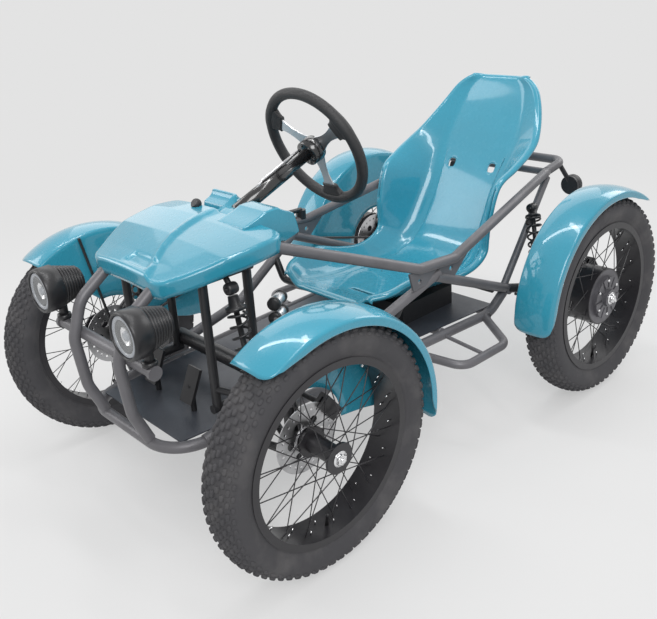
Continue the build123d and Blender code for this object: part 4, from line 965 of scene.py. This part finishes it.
# Columns: name, mesh of the left one, finish, slot
HARDWARE = [("tail_glass", lens_shape, ruby, "black_plastic"),
            ("tail_rim", rim_shape, black_mould, "black_plastic"),
            ("weld_beads", merged(beads), frame_grey, "frame_paint"),
            ("reservoirs", merged(reservoirs), alloy, "black_metal"),
            ("reservoir_caps", merged(caps), satin_black, "black_metal")]
for side, word in ((1, "left"), (-1, "right")):
    for part_name, mesh, finish, slot in HARDWARE:
        piece(part_name + "_" + word, mesh if side > 0 else flipped(mesh), finish, "chassis", weld=0)

# %% [markdown]
# ## Camera
# The camera stands at the place solved from the photograph: where it is, which way it looks and how far
# it is rolled. Its matrix has the right, up and backward directions as columns.

# %% Camera
def camera_matrix(spot, yaw, pitch, roll):
    """Forward from yaw and pitch, right level with the ground, then both turned by the roll."""
    forward = np.array([np.sin(yaw) * np.cos(pitch), np.cos(yaw) * np.cos(pitch), -np.sin(pitch)])
    right = np.array([np.cos(yaw), -np.sin(yaw), 0])
    up = np.cross(right, forward)
    right2 = right * np.cos(roll) + up * np.sin(roll)
    up2 = -right * np.sin(roll) + up * np.cos(roll)
    matrix = np.eye(4)
    matrix[:3, 0], matrix[:3, 1], matrix[:3, 2], matrix[:3, 3] = right2, up2, -forward, spot
    return matrix


lens = bpy.data.cameras.new("view")
SENSOR, FOCAL_PIXELS, PICTURE_PIXELS = 36.0, 819.8, 657
lens.sensor_fit, lens.sensor_width, lens.lens = "HORIZONTAL", SENSOR, FOCAL_PIXELS / PICTURE_PIXELS * SENSOR
lens.shift_x, lens.shift_y = 0.0304, -0.0457
camera = bpy.data.objects.new("view", lens)
scene.collection.objects.link(camera)
camera.matrix_world = Matrix(camera_matrix((1.6117, -1.519, 1.2635), -0.8653, 0.3702, -0.0752))
scene.camera = camera

# %% [markdown]
# ## Floor, world and lamps
# The studio is pale and even. The floor takes the vehicle's soft shadow near it and turns into the plain
# background tone further out. The world shows that same tone to the camera and to reflections, and
# is a little dimmer as light. Two long lamps overhead draw thin bright lines on the lacquer, and a wide
# dim one lays a soft patch on the seat and the cover.

# %% Studio
TONE = 0.768
angle = np.arange(96) / 96 * TAU
spread = np.array([0.0, 0.5, 1, 1.5, 2, 2.5, 3, 4, 5, 6, 8, 12, 20, 35, 60])
floor_points = np.stack([spread[:, None] * np.cos(angle), spread[:, None] * np.sin(angle),
                         np.zeros((len(spread), 96))], -1)
floor_verts, floor_faces = sheet_of(floor_points, wrap_columns=True)
floor_data = bpy.data.meshes.new("studio_floor")
floor_data.from_pydata(floor_verts.tolist(), [], floor_faces[0].tolist())
floor = bpy.data.objects.new("studio_floor", floor_data)
scene.collection.objects.link(floor)
floor_paint = Finish("studio_floor", (0.74, 0.74, 0.74), 0.9, specular_ior_level=0.1)
far_out = floor_paint.node("ShaderNodeVectorMath", {"operation": "LENGTH"}, {0: floor_paint.place}, "Value")
glow = floor_paint.node("ShaderNodeEmission", None, {"Color": (TONE, TONE, TONE, 1)})
blended = floor_paint.node("ShaderNodeMixShader", None, {0: far_out.step(0.6, 3.2) * 0.45 + 0.55,
                                                        1: Signal(floor_paint, floor_paint.shader.outputs[0]),
                                                        2: glow})
floor_paint.tree.links.new(blended.socket, floor_paint.tree.nodes["Material Output"].inputs["Surface"])
floor_data.materials.append(floor_paint.data)

world = bpy.data.worlds.new("studio")
scene.world = world
world.use_nodes = True
tree = world.node_tree
back = tree.nodes["Background"]
path = tree.nodes.new("ShaderNodeLightPath")
seen = path.outputs["Is Camera Ray"]
for ray in ("Is Glossy Ray", "Is Transmission Ray"):
    either = tree.nodes.new("ShaderNodeMath")
    either.operation = "MAXIMUM"
    tree.links.new(seen, either.inputs[0])
    tree.links.new(path.outputs[ray], either.inputs[1])
    seen = either.outputs[0]
level = tree.nodes.new("ShaderNodeMapRange")
level.inputs["To Min"].default_value, level.inputs["To Max"].default_value = 0.50, TONE
tree.links.new(seen, level.inputs["Value"])
back.inputs["Color"].default_value = (1, 1, 1, 1)
tree.links.new(level.outputs[0], back.inputs["Strength"])


def lamp(name, spot, aim, size, power):
    """A rectangular lamp at a spot, with its face turned to the aim."""
    data = bpy.data.lights.new(name, "AREA")
    data.shape, data.size, data.size_y, data.energy = "RECTANGLE", size[0], size[1], power
    thing = bpy.data.objects.new(name, data)
    scene.collection.objects.link(thing)
    back_way = unit(np.array(spot, float) - np.array(aim, float))
    side_way = unit(np.cross((0, 0, 1) if abs(back_way[2]) < 0.99 else (0, 1, 0), back_way))
    matrix = np.eye(4)
    up_way = np.cross(back_way, side_way)
    matrix[:3, 0], matrix[:3, 1], matrix[:3, 2], matrix[:3, 3] = side_way, up_way, back_way, spot
    thing.matrix_world = Matrix(matrix)
    return thing


# Columns: name, spot, aim, size, power
LIGHTS = [("key", (3.2, -2.6, 3.2), (0, 0, 0.4), (2.2, 2.2), 110),
          ("fill", (-3.2, -2.4, 2.4), (0, 0, 0.4), (2.0, 2.0), 45),
          ("strip_near", (0.9, -0.2, 3.4), (0.3, 0, 0), (0.22, 3.2), 26),
          ("strip_far", (-0.9, -0.2, 3.4), (-0.3, 0, 0), (0.22, 3.2), 26),
          ("rear", (0.5, 3.6, 2.6), (0, 0, 0.4), (2.4, 1.6), 40),
          ("sky", (-2.6, 2.2, 2.7), (0, 0, 0.3), (4.4, 2.6), 28)]
for row in LIGHTS:
    lamp(*row)

# %% [markdown]
# ## Close the file
# The number of faces that the added pieces hold is printed.

# %% Measure and finish
print(sum(counts.values()), "faces added")
